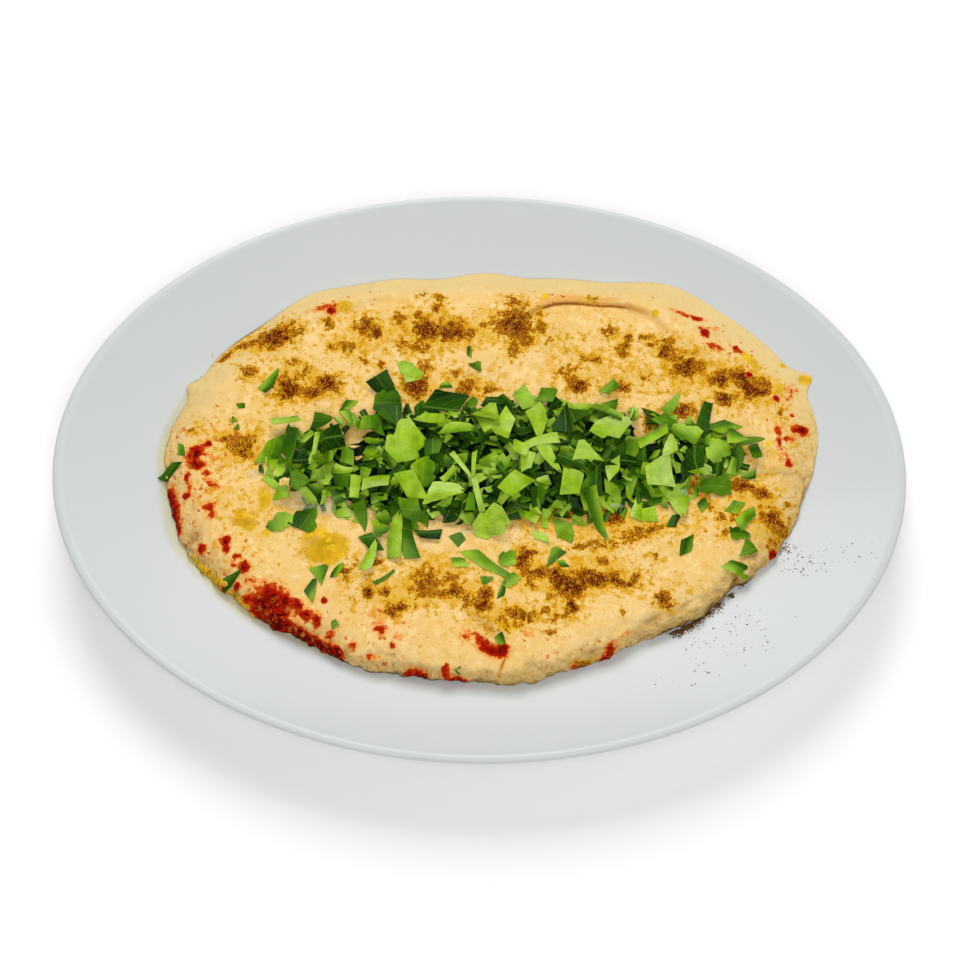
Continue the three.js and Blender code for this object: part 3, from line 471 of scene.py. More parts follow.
def lip_shade_and_stain_at(angle, distance):
    """Strength of the orange stain and the painted shade along the back lip."""
    turn = np.mod(angle, 360)
    total = 0
    for inset, width, start, end, fade, strength in LIP_SHADE_AND_STAIN:
        away = distance - np.interp(turn, *BACK_CREST) + inset
        ends = ramp(turn, start, start + fade) * ramp(-turn, -end, fade - end)
        total = total + strength * bell(away / width) * ends
    return np.minimum(1, total)


def turned(x, y, centre_x, centre_y, turn):
    """Coordinates along and across a direction, from a centre."""
    c, s = math.cos(math.radians(turn)), math.sin(math.radians(turn))
    return (x - centre_x) * c + (y - centre_y) * s, (y - centre_y) * c - (x - centre_x) * s


def hollows_at(x, y):
    total = 0
    for centre_x, centre_y, length, width, turn, depth in HOLLOWS:
        along, across = turned(x, y, centre_x, centre_y, turn)
        total = total + depth * np.exp(-((along / length) ** 4) - (across / width) ** 4)
    return total


def dip_top(x, y):
    """Height of the dip's upper side."""
    angle = np.degrees(np.arctan2(y, x))
    edge = dip_edge(angle)
    share = np.minimum(1, np.hypot(x, y) / edge)
    width = SHOULDER + SHOULDER_SWING * np.sin(np.radians(angle))
    inwards = np.clip((1 - share) * edge / width, 0, 1)
    rounding = np.sqrt(1 - (1 - inwards) ** 2)
    lumps = sum(size * np.sin(across * x + along * y + phase) for size, across, along, phase in LUMPS)
    plateau = CROWN - TILT * y / (PLATTER_WIDTH / 2) + lumps
    base = platter_top(x, y) + SEAT + THINNEST
    body = plateau - hollows_at(x, y) + lips_at(angle, share * edge) - base
    return base + np.maximum(0, body) * rounding


def on_heap(along, across):
    """Place in plan of a point given along and across the heap."""
    x, y = turned(along, across, 0, 0, -HEAP_TURN)
    return x + HEAP_X, y + HEAP_Y


def heap_top(x, y):
    """Height of the heap's upper side."""
    along, across = turned(x, y, HEAP_X, HEAP_Y, HEAP_TURN)
    along, across = along / HEAP_LENGTH, across / HEAP_WIDTH
    share = np.hypot(along, across) / wavy(np.arctan2(across, along), HEAP_WAVES)
    return dip_top(x, y) + 0.5 + (HEAP_LIFT + HEAP_HEIGHT) * np.sqrt(np.maximum(0, 1 - (share / 1.05) ** 2))


# ---- Modelling helpers ----


def deselect():
    if bpy.context.object and bpy.context.object.mode != "OBJECT":
        bpy.ops.object.mode_set(mode="OBJECT")
    bpy.ops.object.select_all(action="DESELECT")


def pick(piece):
    deselect()
    piece.select_set(True)
    bpy.context.view_layer.objects.active = piece


def named(name):
    piece = bpy.context.object
    piece.name = name
    piece.data.name = name
    return piece


def edit(action="DESELECT"):
    """Goes into edit mode with nothing or all selected."""
    bpy.ops.object.mode_set(mode="EDIT")
    bpy.ops.mesh.select_all(action=action)


def close_up():
    """Draws the selected edge together in its middle."""
    bpy.ops.mesh.extrude_region_move()
    bpy.ops.mesh.merge(type="CENTER")


def turn_outwards():
    bpy.ops.mesh.select_all(action="SELECT")
    bpy.ops.mesh.normals_make_consistent(inside=False)


def leave_edit():
    bpy.ops.object.mode_set(mode="OBJECT")


def vectors_of(values, field):
    flat = np.empty(3 * len(values))
    values.foreach_get(field, flat)
    return flat.reshape(-1, 3)


def points_of(piece):
    return vectors_of(piece.data.vertices, "co")


def set_points(piece, points):
    piece.data.vertices.foreach_set("co", np.ascontiguousarray(points, dtype=np.float32).ravel())
    piece.data.update()


def chosen_points(piece):
    """Which of the piece's vertices are selected."""
    flags = np.empty(len(piece.data.vertices), dtype=bool)
    piece.data.vertices.foreach_get("select", flags)
    return flags


def give_attribute(piece, name, values):
    layer = piece.data.attributes.new(name, "FLOAT", "POINT")
    layer.data.foreach_set("value", np.ascontiguousarray(values, dtype=np.float32))


def mesh_piece(name, points, faces):
    """A new piece of many small bodies, from lists of their points and faces."""
    data = bpy.data.meshes.new(name)
    data.from_pydata(np.concatenate(points), [], faces)
    piece = bpy.data.objects.new(name, data)
    bpy.context.collection.objects.link(piece)
    return piece


def settle(piece, material):
    """Brings a piece from millimetres into the frame, smooth and with its finish."""
    pick(piece)
    piece.scale = (MM, MM, MM)
    bpy.ops.object.transform_apply(location=True, rotation=True, scale=True)
    bpy.ops.object.shade_smooth()
    piece.data.materials.clear()
    piece.data.materials.append(material)
    return piece


def lumps_of(points, size, seed):
    """Smooth noise from -1 to 1 at each point, with lumps of the given size."""
    shift = Vector((seed * 17.3, seed * 5.1, seed * 9.7))
    return np.array([noise.noise(Vector(p) / size + shift) for p in points])


def spots_at(x, y, spots):
    """Strength of a list of spots at each point, from 0 to 1."""
    bare = np.ones_like(x)
    for centre_x, centre_y, length, width, turn, strength in spots:
        along, across = turned(x, y, centre_x, centre_y, turn)
        reach = (along / (length + 0.4)) ** 2 + (across / (width + 0.4)) ** 2
        bare *= 1 - strength * np.exp(-(reach**1.2))
    return 1 - bare


def widened(spots):
    """The same spots with the thin dusting round them."""
    return tuple((x, y, 1.5 * length + 1.2, 1.5 * width + 1.2, turn, 0.7 * strength)
                 for x, y, length, width, turn, strength in spots)


def bands_at(angle, away, bands):
    """Strength of bands along the dip's edge, at a distance from it or a height over the platter."""
    turn = np.mod(angle, 360)
    bare = np.ones_like(away)
    for start, end, width, strength in bands:
        ends = ramp(turn, start - 1, start + 1) * ramp(-turn, -end - 1, 1 - end)
        bare *= 1 - strength * ends * bell(away / width)
    return 1 - bare


# ---- Finishes ----


class Finish:
    """A material with one shader, and the small nodes that lead up to its inputs."""

    def __init__(self, name):
        self.material = bpy.data.materials.new(name)
        self.material.use_nodes = True
        self.tree = self.material.node_tree
        self.shader = self.tree.nodes["Principled BSDF"]
        self.grains = {}

    @cached_property
    def place(self):
        """The place on the piece, which noise and specks start from."""
        return self.add("TexCoord").outputs["Object"]

    def feed(self, node, inputs):
        """Gives each input of a node a value or another node's output."""
        for socket, value in inputs.items():
            if isinstance(value, bpy.types.NodeSocket):
                self.tree.links.new(value, node.inputs[socket])
            else:
                node.inputs[socket].default_value = value

    def add(self, kind, inputs=None, **settings):
        made = self.tree.nodes.new("ShaderNode" + kind)
        for setting, value in settings.items():
            setattr(made, setting, value)
        self.feed(made, inputs or {})
        return made

    def surface(self, colour, roughness, **inputs):
        """Sets the shader; an input's spaces are written as underlines."""
        self.feed(self.shader, {"Base Color": colour, "Roughness": roughness})
        self.feed(self.shader, {socket.replace("_", " "): value for socket, value in inputs.items()})
        return self.material

    def bump(self, height, strength, depth):
        """Relief in the shading, its depth in millimetres."""
        inputs = {"Height": height, "Strength": strength, "Distance": depth * MM}
        return self.add("Bump", inputs).outputs["Normal"]

    def maths(self, operation, a, b=0.0):
        return self.add("Math", {0: a, 1: b}, operation=operation).outputs[0]

    def times(self, a, b):
        return self.maths("MULTIPLY", a, b)

    def minus(self, a, b):
        return self.maths("SUBTRACT", a, b)

    def plus(self, first, *others):
        total = first
        for other in others:
            total = self.maths("ADD", total, other)
        return total

    def rise(self, value, low, high):
        """Rises smoothly from 0 at low to 1 at high."""
        inputs = {"Value": value, "From Min": low, "From Max": high}
        return self.add("MapRange", inputs, interpolation_type="SMOOTHSTEP").outputs["Result"]

    def blend(self, share, a, b):
        a, b = (end if isinstance(end, bpy.types.NodeSocket) else (*end, 1) for end in (a, b))
        return self.add("Mix", {"Factor": share, 6: a, 7: b}, data_type="RGBA").outputs[2]

    def tint(self, under, colour, value, low, high, strength):
        """Lays a colour over another, with the given strength, where a value rises from low to high."""
        return self.blend(self.times(self.rise(value, low, high), strength), under, colour)

    def grain(self, size, detail=2.0, seed=0.0):
        """Noise on the piece, with lumps of the given size in millimetres."""
        key = (size, detail, seed)
        if key not in self.grains:
            inputs = {"Vector": self.place, "Scale": 1 / (size * MM), "Detail": detail, "W": seed}
            self.grains[key] = self.add("TexNoise", inputs, noise_dimensions="4D").outputs["Fac"]
        return self.grains[key]

    def wander(self, value, amount):
        """Noise round 0, of the given amount."""
        return self.times(self.minus(value, 0.5), amount)

    def attribute(self, name):
        return self.add("Attribute", attribute_name=name).outputs["Fac"]

    def shaken(self, size, amount):
        """The place shaken by noise, so that round things come out uneven."""
        inputs = {"Vector": self.place, "Scale": 1 / (size * MM), "Detail": 2.0}
        shake = self.add("TexNoise", inputs, noise_dimensions="3D").outputs["Color"]
        shake = self.add("VectorMath", {0: shake, 1: (0.5, 0.5, 0.5)}, operation="SUBTRACT").outputs[0]
        shake = self.add("VectorMath", {0: shake, "Scale": amount * MM}, operation="SCALE").outputs[0]
        return self.add("VectorMath", {0: self.place, 1: shake}, operation="ADD").outputs[0]

    def specks(self, place, size, radius, density):
        """Dots in a share of the cells of the given size; the share may vary over the piece."""
        cells = self.add("TexVoronoi", {"Vector": place, "Scale": 1 / (size * MM), "Randomness": 1.0})
        lot = self.add("SeparateColor", {"Color": cells.outputs["Color"]})
        chosen = self.rise(self.minus(density, lot.outputs[0]), 0.0, 0.02)
        grown = self.plus(self.times(lot.outputs[1], radius / size), 0.5 * radius / size)
        inside = self.minus(grown, cells.outputs["Distance"])
        return self.times(self.rise(inside, -0.05, 0.05), chosen)


def glaze_finish():
    glaze = Finish("glaze")
    colour = glaze.blend(glaze.grain(60, 3), (0.572, 0.602, 0.6), (0.61, 0.636, 0.633))
    waves = glaze.bump(glaze.grain(9), 0.05, 0.4)
    return glaze.surface(colour, 0.38, Specular_IOR_Level=0.3, Coat_Weight=0.08, Coat_Roughness=0.1,
                         Normal=waves)


def cream_colour(dip):
    """The bare dip: mottled cream with paler lumps that are partly painted highlight, less yellow on its
    wall, painted shade at its foot and in its low places, stained by oil, and with an orange stain and
    painted shade along the back lip's crease.
    """
    patch, mottle, worked = dip.grain(*PATCH), dip.grain(*MOTTLE), dip.attribute("worked")
    cream = dip.blend(dip.rise(dip.grain(*CLOUD), 0.35, 0.65), (0.845, 0.55, 0.17), (0.885, 0.60, 0.23))
    cream = dip.tint(cream, (0.84, 0.50, 0.075), patch, 0.5, 0.72, dip.times(worked, 0.7))
    # Paler where the noise that raises the bump is high: partly the cream's own mottling, partly painted
    # highlight on the lumps.
    cream = dip.tint(cream, (0.95, 0.685, 0.31), mottle, 0.49, 0.66, 0.8)
    pits = dip.plus(dip.grain(*FINE), dip.wander(patch, 0.8))
    cream = dip.tint(cream, (0.72, 0.37, 0.02), pits, 0.55, 0.7, dip.times(worked, 0.5))
    cream = dip.blend(dip.times(dip.attribute("edge"), 0.9), cream, (0.77, 0.57, 0.245))
    # Painted shade, duller and browner, low on the dip's front wall.
    cream = dip.blend(dip.times(dip.attribute("foot"), 0.42), cream, (0.58, 0.37, 0.11))
    # Painted shade, dark brown, in the low places between the lumps.
    cream = dip.blend(dip.times(dip.attribute("hollow_shade"), 0.9), cream, (0.42, 0.21, 0.035))
    oil = dip.attribute("oil")
    soaked = dip.plus(oil, dip.times(dip.wander(patch, 1.2), dip.rise(oil, 0.0, 0.3)))
    golden = dip.blend(dip.rise(mottle, 0.4, 0.62), (0.66, 0.37, 0.005), (0.84, 0.53, 0.006))
    cream = dip.tint(cream, golden, soaked, 0.2, 0.6, 0.95)
    crease_shade_and_stain = dip.attribute("crease_shade_and_stain")
    # Where the mark is faint, an orange stain; where it is strong, painted shade in dark brown.
    cream = dip.tint(cream, (0.76, 0.37, 0.07), crease_shade_and_stain, 0.05, 0.4, 0.75)
    return dip.tint(cream, (0.24, 0.075, 0.004), crease_shade_and_stain, 0.45, 0.9, 0.9)


def cumin_over(dip, cream, shaken):
    """Cumin on the cream, from a golden fringe to toasted cores, and single specks; and how toasted it is."""
    spark, cumin, halo = dip.grain(*SPARK), dip.attribute("cumin"), dip.attribute("halo")
    near = dip.rise(halo, 0.0, 0.25)
    washed = dip.plus(halo, dip.times(dip.wander(dip.grain(*PATCH), 1.6), near))
    cream = dip.tint(cream, (0.76, 0.42, 0.03), washed, 0.3, 0.75, 0.6)
    clumped = dip.times(dip.wander(dip.grain(*CLUMP), 2.4), near)
    gritty = dip.times(dip.wander(dip.grain(*FINE), 1.1), near)
    pile = dip.plus(cumin, clumped, gritty, dip.times(halo, 0.25))
    colour = dip.tint(cream, (0.72, 0.39, 0.008), pile, 0.1, 0.34, 0.85)
    powder = dip.blend(dip.rise(spark, 0.4, 0.6), (0.36, 0.074, 0.0003), (0.76, 0.31, 0.006))
    thick = dip.plus(dip.times(dip.rise(cumin, 0.0, 0.2), 0.5), 0.45)
    colour = dip.tint(colour, powder, pile, 0.36, 0.5, thick)
    core = dip.plus(cumin, dip.times(clumped, 0.5), dip.times(gritty, 0.8))
    toasted = dip.blend(dip.rise(spark, 0.4, 0.58), (0.05, 0.003, 0.0001), (0.31, 0.047, 0.0004))
    colour = dip.tint(colour, toasted, core, 0.52, 0.74, 0.97)
    flecks = dip.times(dip.rise(core, 0.4, 0.55), 0.6)
    colour = dip.tint(colour, (0.80, 0.47, 0.12), spark, 0.6, 0.66, flecks)
    crowd = dip.times(dip.plus(dip.times(halo, 0.6), 0.04), dip.attribute("worked"))
    colour = dip.blend(dip.times(dip.specks(shaken, 2.3, 0.65, crowd), 0.8), colour, (0.64, 0.34, 0.005))
    colour = dip.blend(dip.times(dip.specks(shaken, 1.5, 0.26, crowd), 0.85), colour, (0.54, 0.24, 0.006))
    return colour, core


def paprika_over(dip, colour, shaken):
    """Paprika from an orange fringe to a dark red core, with embers and a blush round it; and where it is."""
    paprika, red_grain = dip.attribute("paprika"), dip.grain(*RED_GRAIN)
    red = dip.plus(paprika, dip.times(dip.wander(red_grain, 1.3), dip.rise(paprika, 0.0, 0.2)))
    colour = dip.tint(colour, (0.84, 0.27, 0.03), red, 0.05, 0.25, 0.75)
    colour = dip.blend(dip.rise(red, 0.3, 0.42), colour, (0.64, 0.055, 0.0015))
    colour = dip.blend(dip.rise(red, 0.5, 0.68), colour, (0.43, 0.006, 0.0004))
    colour = dip.blend(dip.rise(red, 0.76, 1.05), colour, (0.10, 0.0008, 0.0003))
    sprinkled = dip.attribute("sprinkled")
    glow = dip.blend(dip.rise(red_grain, 0.4, 0.6), (0.55, 0.03, 0.001), (0.80, 0.17, 0.01))
    embers = dip.specks(shaken, 1.9, 0.55, dip.times(sprinkled, 0.6))
    colour = dip.blend(dip.times(embers, 0.85), colour, glow)
    blush = dip.times(sprinkled, 0.75)
    return dip.tint(colour, (0.82, 0.27, 0.035), dip.grain(*CLUMP), 0.54, 0.68, blush), red


def dip_finish():
    """Chickpea cream, with cumin, paprika and oil where the piece's attributes put them."""
    dip = Finish("dip")
    shaken = dip.shaken(1.3, 2.6)
    colour, core = cumin_over(dip, cream_colour(dip), shaken)
    colour, red = paprika_over(dip, colour, shaken)
    # The dark line at the dip's foot: partly painted contact shadow, partly spice.
    colour = dip.blend(dip.times(dip.attribute("shadow_and_spice_line"), 0.85), colour, (0.07, 0.01, 0.002))
    wet = dip.times(dip.attribute("oil"), -0.3)
    dry = dip.times(dip.rise(core, 0.2, 0.6), 0.25)
    roughness = dip.plus(dip.times(dip.grain(*CLOUD), 0.2), 0.36, wet, dry)
    dusted = dip.maths("MAXIMUM", dip.rise(core, 0.3, 0.6), dip.rise(red, 0.3, 0.6))
    grit = dip.times(dip.grain(*FINE), dip.plus(dip.times(dusted, 1.2), 0.35))
    crumbs = dip.plus(dip.times(dip.grain(*CLUMP), 5.5), dip.times(dip.grain(*PATCH), 5))
    crumbs = dip.times(crumbs, dip.attribute("foot"))
    relief = dip.bump(dip.plus(dip.times(dip.grain(*MOTTLE), 0.8), grit, crumbs), 1, 0.8)
    return dip.surface(colour, roughness, Subsurface_Weight=0.03, Subsurface_Radius=(1.0, 0.5, 0.15),
                       Subsurface_Scale=1.5 * MM, Specular_IOR_Level=0.03, Normal=relief)


def veins_of(parsley):
    """A midrib along each leaflet and fainter veins that branch off it, from its UV."""
    uv = parsley.add("UVMap", uv_map="UVMap").outputs["UV"]
    along, across, _ = parsley.add("SeparateXYZ", {"Vector": uv}).outputs
    side = parsley.times(parsley.maths("ABSOLUTE", parsley.minus(across, 0.5)), 2)
    midrib = parsley.rise(side, 0.07, 0.02)
    sweep = parsley.times(parsley.minus(along, parsley.times(side, 0.3)), 7)
    branch = parsley.maths("ABSOLUTE", parsley.minus(parsley.maths("FRACT", sweep), 0.5))
    return parsley.maths("MAXIMUM", parsley.times(parsley.rise(branch, 0.07, 0.02), 0.5), midrib)


def parsley_finish():
    """Flat parsley: darker and lighter pieces by tone, paler veins along and across each leaflet."""
    parsley = Finish("parsley")
    tone = parsley.attribute("tone")
    greens = parsley.add("ValToRGB", {"Fac": tone})
    stops = ((0, (0.002, 0.016, 0.0002)), (0.3, (0.026, 0.096, 0.0008)), (0.5, (0.10, 0.24, 0.002)),
             (0.7, (0.27, 0.47, 0.004)), (0.85, (0.40, 0.62, 0.025)), (1, (0.53, 0.76, 0.16)))
    for position, _ in stops[1:-1]:
        greens.color_ramp.elements.new(position)
    for element, (_, colour) in zip(greens.color_ramp.elements, stops):
        element.color = (*colour, 1)
    leaf = greens.outputs["Color"]
    darker = parsley.blend(0.35, leaf, (0.012, 0.06, 0.001))
    leaf = parsley.blend(parsley.rise(parsley.grain(3.2), 0.3, 0.7), darker, leaf)
    # Painted sheen: paler waxy patches, most on the lighter leaves.
    painted_sheen = parsley.times(parsley.rise(tone, 0.3, 0.9), 0.5)
    leaf = parsley.tint(leaf, (0.48, 0.68, 0.11), parsley.grain(6, 1, 8), 0.4, 0.65, painted_sheen)
    veins = veins_of(parsley)
    leaf = parsley.blend(parsley.times(veins, 0.6), leaf, parsley.blend(0.3, leaf, (0.35, 0.62, 0.08)))
    leaf = parsley.tint(leaf, (0.06, 0.18, 0.001), parsley.grain(0.5, 2, 5), 0.5, 0.75, 0.35)
    relief = parsley.bump(parsley.plus(parsley.times(veins, -0.6), parsley.grain(1.2, 2, 2)), 0.5, 0.3)
    return parsley.surface(leaf, 0.34, Specular_IOR_Level=0.05, Subsurface_Weight=0.05,
                           Subsurface_Radius=(0.3, 0.8, 0.1), Subsurface_Scale=0.8 * MM, Normal=relief)


def shade_finish():
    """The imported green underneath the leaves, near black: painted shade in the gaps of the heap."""
    shade = Finish("parsley_shade")
    patches = shade.rise(shade.grain(2.4, 3), 0.4, 0.7)
    colour = shade.blend(patches, (0.001, 0.006, 0.0005), (0.01, 0.035, 0.001))
    relief = shade.bump(shade.grain(1.5, 3), 0.8, 0.8)
    return shade.surface(colour, 0.6, Specular_IOR_Level=0.05, Normal=relief)


def oil_finish(name, colour, alpha, ripple, roughness):
    """Oil that gets thinner towards its shore, by the piece's depth."""
    oil = Finish(name)
    deep = tuple(0.72 * channel for channel in colour)
    mixed = oil.blend(oil.rise(oil.grain(ripple), 0.3, 0.7), deep, colour)
    clear = oil.times(oil.attribute("depth"), alpha)
    relief = oil.bump(oil.grain(ripple, 1), 0.2, 0.3)
    return oil.surface(mixed, roughness, Alpha=clear, IOR=1.47, Normal=relief)


def spice_finish(name, dark, light):
    spice = Finish(name)
    mixed = spice.times(spice.plus(spice.attribute("tone"), spice.grain(0.3, 1)), 0.6)
    return spice.surface(spice.blend(mixed, dark, light), 0.7, Specular_IOR_Level=0.05)


# ---- Platter ----


def platter_profile():
    """The platter's section as radius and height, from under its middle, round the rim and back."""
    radius = PLATTER_LENGTH / 2
    foot = radius * FOOT_SHARE
    inner = foot - FOOT_WIDTH
    under = PLATTER_FLOOR - PLATTER_WALL
    profile = [(3, under), (foot - 30, under), (inner - 2, under), (inner - 1.2, under - 0.4)]
    profile += [(inner - 0.2, FOOT_ROUND), (inner + FOOT_ROUND, 0)]
    profile += [(foot - FOOT_ROUND, 0), (foot, FOOT_ROUND)]
    profile += [(foot + 0.8, under - 0.6), (foot + 2.2, under + 0.4)]
    outside = [(radius * share, float(platter_rise(share))) for share in np.linspace(0.54, 0.95, 16)]
    profile += [(out, up - PLATTER_WALL) for out, up in outside]
    half = PLATTER_LIP / 2
    for turn in range(-60, 61, 15):
        across, up = half * math.cos(math.radians(turn)), half * math.sin(math.radians(turn))
        profile.append((radius - half + across, PLATTER_HEIGHT - half + up))
    profile += [(radius * share, float(platter_rise(share))) for share in np.linspace(0.972, 0.5, 26)]
    profile += [(radius * share, PLATTER_FLOOR) for share in (0.4, 0.2, 0.03)]
    return profile


def make_platter(material):
    """A ring drawn out along the section, step by step, closed at both ends and pressed oval."""
    profile = platter_profile()
    radius, height = profile[0]
    deselect()
    bpy.ops.mesh.primitive_circle_add(vertices=PLATTER_STEPS, radius=radius)
    platter = named("oval_platter")
    edit("SELECT")
    bpy.ops.transform.translate(value=(0, 0, height))
    close_up()
    bpy.ops.mesh.select_all(action="DESELECT")
    bpy.ops.mesh.select_non_manifold()
    for next_radius, next_height in profile[1:]:
        bpy.ops.mesh.extrude_region_move(TRANSFORM_OT_translate={"value": (0, 0, next_height - height)})
        grow = next_radius / radius
        bpy.ops.transform.resize(value=(grow, grow, 1), center_override=(0, 0, 0))
        radius, height = next_radius, next_height
    close_up()
    turn_outwards()
    bpy.ops.transform.resize(value=(1, PLATTER_WIDTH / PLATTER_LENGTH, 1), center_override=(0, 0, 0))
    leave_edit()
    return settle(platter, material)


# ---- Dip ----


def dip_plan(grid):
    """A square grid's points moved into the dip's outline, closer together towards its edge."""
    u, v = grid[:, 0], grid[:, 1]
    x = u * np.sqrt(1 - v * v / 2)
    y = v * np.sqrt(1 - u * u / 2)
    share = np.minimum(1, np.hypot(x, y))
    angle = np.degrees(np.arctan2(y, x))
    reach = dip_edge(angle) * (1 - (1 - share) ** 1.25)
    return reach * np.cos(np.radians(angle)), reach * np.sin(np.radians(angle)), share


def roughen(dip, x, y, share):
    """Pushes the sheet in and out along its normals, most on the front wall, and keeps it off the platter."""
    points = points_of(dip)
    front = np.clip(0.5 - y / FRONT_FADE, 0, 1)
    wall = ramp(share, WALL_FROM, WALL_FROM + 0.1) * front
    back_wall = ramp(share, 0.9, 1) * (1 - front)
    relief = 0
    for seed, (size, height, more) in enumerate(RELIEF):
        relief = relief + lumps_of(points, size, seed) * height * (1 + more * wall)
    deepest = sum(height for _, height, _ in RELIEF)
    # Painted shade in the low places between the lumps, most on the front wall.
    give_attribute(dip, "hollow_shade", np.clip(-0.9 * relief / deepest, 0, 1) * (0.2 + 0.8 * wall))
    dusted = spots_at(x, y, CUMIN) + 1.5 * spots_at(x, y, PAPRIKA)
    relief = relief + dusted * (0.3 + 0.3 * lumps_of(points, 1.4, 9))
    normals = vectors_of(dip.data.vertex_normals, "vector")
    points = points + normals * (relief * (1 - 0.8 * back_wall))[:, None]
    lowest = platter_top(points[:, 0], points[:, 1]) + SEAT + SHEET_LIFT
    points[:, 2] = np.where(share > 0.9999, lowest, np.maximum(points[:, 2], lowest))
    set_points(dip, points)


def turn_under(dip):
    """Draws the sheet's edge inwards along the platter, and closes it underneath."""
    edit()
    bpy.ops.mesh.select_non_manifold()
    last = 1.0
    for ring in SKIRT_RINGS:
        bpy.ops.mesh.extrude_region_move()
        bpy.ops.transform.resize(value=(ring / last, ring / last, 1), center_override=(0, 0, 0))
        leave_edit()
        points, new = points_of(dip), chosen_points(dip)
        points[new, 2] = platter_top(points[new, 0], points[new, 1]) + SEAT
        set_points(dip, points)
        bpy.ops.object.mode_set(mode="EDIT")
        last = ring
    close_up()
    turn_outwards()
    leave_edit()


def mark(dip):
    """Gives the dip the attributes that its finish reads: spice, oil, stains, painted shade and how it was
    worked.
    """
    x, y, z = points_of(dip).T
    angle, distance = np.degrees(np.arctan2(y, x)), np.hypot(x, y)
    edge = dip_edge(angle)
    share, height = distance / edge, z - platter_top(x, y)
    strewn = {
        "cumin": (CUMIN, CUMIN_BANDS),
        "halo": (widened(CUMIN) + DUSTED, CUMIN_BANDS),
        "paprika": (PAPRIKA, PAPRIKA_BANDS),
        "oil": (OIL_STAINS, OIL_BANDS),
        "sprinkled": (SPRINKLED, ()),
    }
    for name, (spots, bands) in strewn.items():
        bare = (1 - spots_at(x, y, spots)) * (1 - bands_at(angle, edge - distance, bands))
        give_attribute(dip, name, 1 - bare)
    smooth_back = ramp(share, WALL_FROM, WALL_FROM + 0.05) * ramp(y, 20, 35)
    give_attribute(dip, "worked", 1 - 0.85 * smooth_back)
    wall = ramp(share, WALL_FROM, WALL_FROM + 0.1)
    give_attribute(dip, "edge", wall * np.clip(0.45 + y / FRONT_FADE, 0.35, 1))
    give_attribute(dip, "crease_shade_and_stain", np.maximum(lip_shade_and_stain_at(angle, distance), spots_at(x, y, CRACK_SHADE)))
    # Where painted shade darkens the foot of the front wall, and where its crumbs stand out most.
    give_attribute(dip, "foot", np.exp(-((height / FOOT_SHADE_HEIGHT) ** 4)) * np.clip(0.6 - y / FRONT_FADE, 0, 1))
    give_attribute(dip, "shadow_and_spice_line", bands_at(angle, height, SHADOW_AND_SPICE_LINES))


def make_dip(material):
    """A fine sheet laid over the form, roughened, with its skirt turned under."""
    deselect()
    bpy.ops.mesh.primitive_grid_add(x_subdivisions=DIP_GRID[0], y_subdivisions=DIP_GRID[1], size=2)
    dip = named("chickpea_dip")
    x, y, share = dip_plan(points_of(dip))
    set_points(dip, rows(x, y, dip_top(x, y)))
    roughen(dip, x, y, share)
    turn_under(dip)
    mark(dip)
    return settle(dip, material)


# ---- Parsley ----


def leaflet(columns, rows_across, teeth, depth):
    """A flat leaflet one long, with teeth that point to its tip; its UV runs along and across it."""
    deselect()
    bpy.ops.mesh.primitive_grid_add(x_subdivisions=columns, y_subdivisions=rows_across, size=1)
    blank = named("leaflet")
    points = points_of(blank)
    along = points[:, 0] + 0.5
    fullness = np.sin(np.pi * np.clip(along, 0.01, 0.985) ** 0.8) ** 0.65
    tooth = np.mod(along * teeth, 1)
    tooth = np.where(tooth < TOOTH_PEAK, tooth / TOOTH_PEAK, (1 - tooth) / (1 - TOOTH_PEAK))
    across = 2 * points[:, 1]
    points[:, 1] = across * 0.4 * fullness * (1 - across**2 * depth * (1 - tooth**0.7))
    points[:, 0] += (0.05 + 0.3 * depth) * across**2
    set_points(blank, points)
    return blank


def chopped(blank, cuts):
    """A copy of the leaflet cut along planes, as its points, faces and UV, one long and one wide."""
    pick(blank)
    bpy.ops.object.duplicate()
    piece = bpy.context.object
    bpy.ops.object.mode_set(mode="EDIT")
    for x, y, turn in cuts:
        bpy.ops.mesh.select_all(action="SELECT")
        away = (math.cos(math.radians(turn)), math.sin(math.radians(turn)), 0)
        bpy.ops.mesh.bisect(plane_co=(x, y, 0), plane_no=away, clear_outer=True)
    bpy.ops.mesh.select_all(action="DESELECT")
    leave_edit()
    points = points_of(piece)
    middle = np.argmin(np.linalg.norm(points - points.mean(axis=0), axis=1))
    piece.data.vertices[int(middle)].select = True
    bpy.ops.object.mode_set(mode="EDIT")
    bpy.ops.mesh.select_linked()
    bpy.ops.mesh.select_all(action="INVERT")
    bpy.ops.mesh.delete(type="VERT")
    leave_edit()
    points = points_of(piece)
    low, high = points.min(axis=0), points.max(axis=0)
    points = (points - (low + high) / 2) / np.array([high[0] - low[0], high[1] - low[1], 1])
    faces = [tuple(face.vertices) for face in piece.data.polygons]
    uv = np.array([loop.uv[:] for loop in piece.data.uv_layers.active.data])
    bpy.data.objects.remove(piece)
    return points, faces, uv


def leaf_cuts(columns, rows_across):
    """Every cut in CHOPS, made once from a plain or a lobed leaflet."""
    plain = leaflet(columns, rows_across, 4, 0.06)
    lobed = leaflet(columns, rows_across, 3, 0.36)
    made = {}
    for kind, variants in CHOPS.items():
        blank = lobed if kind in ("lobed", "notch") else plain
        made[kind] = [chopped(blank, cuts) for cuts in variants]
    made["stem"] = made["strip"]
    bpy.data.objects.remove(plain)
    bpy.data.objects.remove(lobed)
    return made


def shaded_tone(shape, tone, draw):
    """Tone over a leaf with painted shade: one half and one end a little lighter than the other."""
    side = np.clip(4 * shape[:, 1], -1, 1)
    return np.clip(tone + draw.uniform(-0.2, 0.2) * side + draw.uniform(-0.25, 0.25) * shape[:, 0], 0, 1)


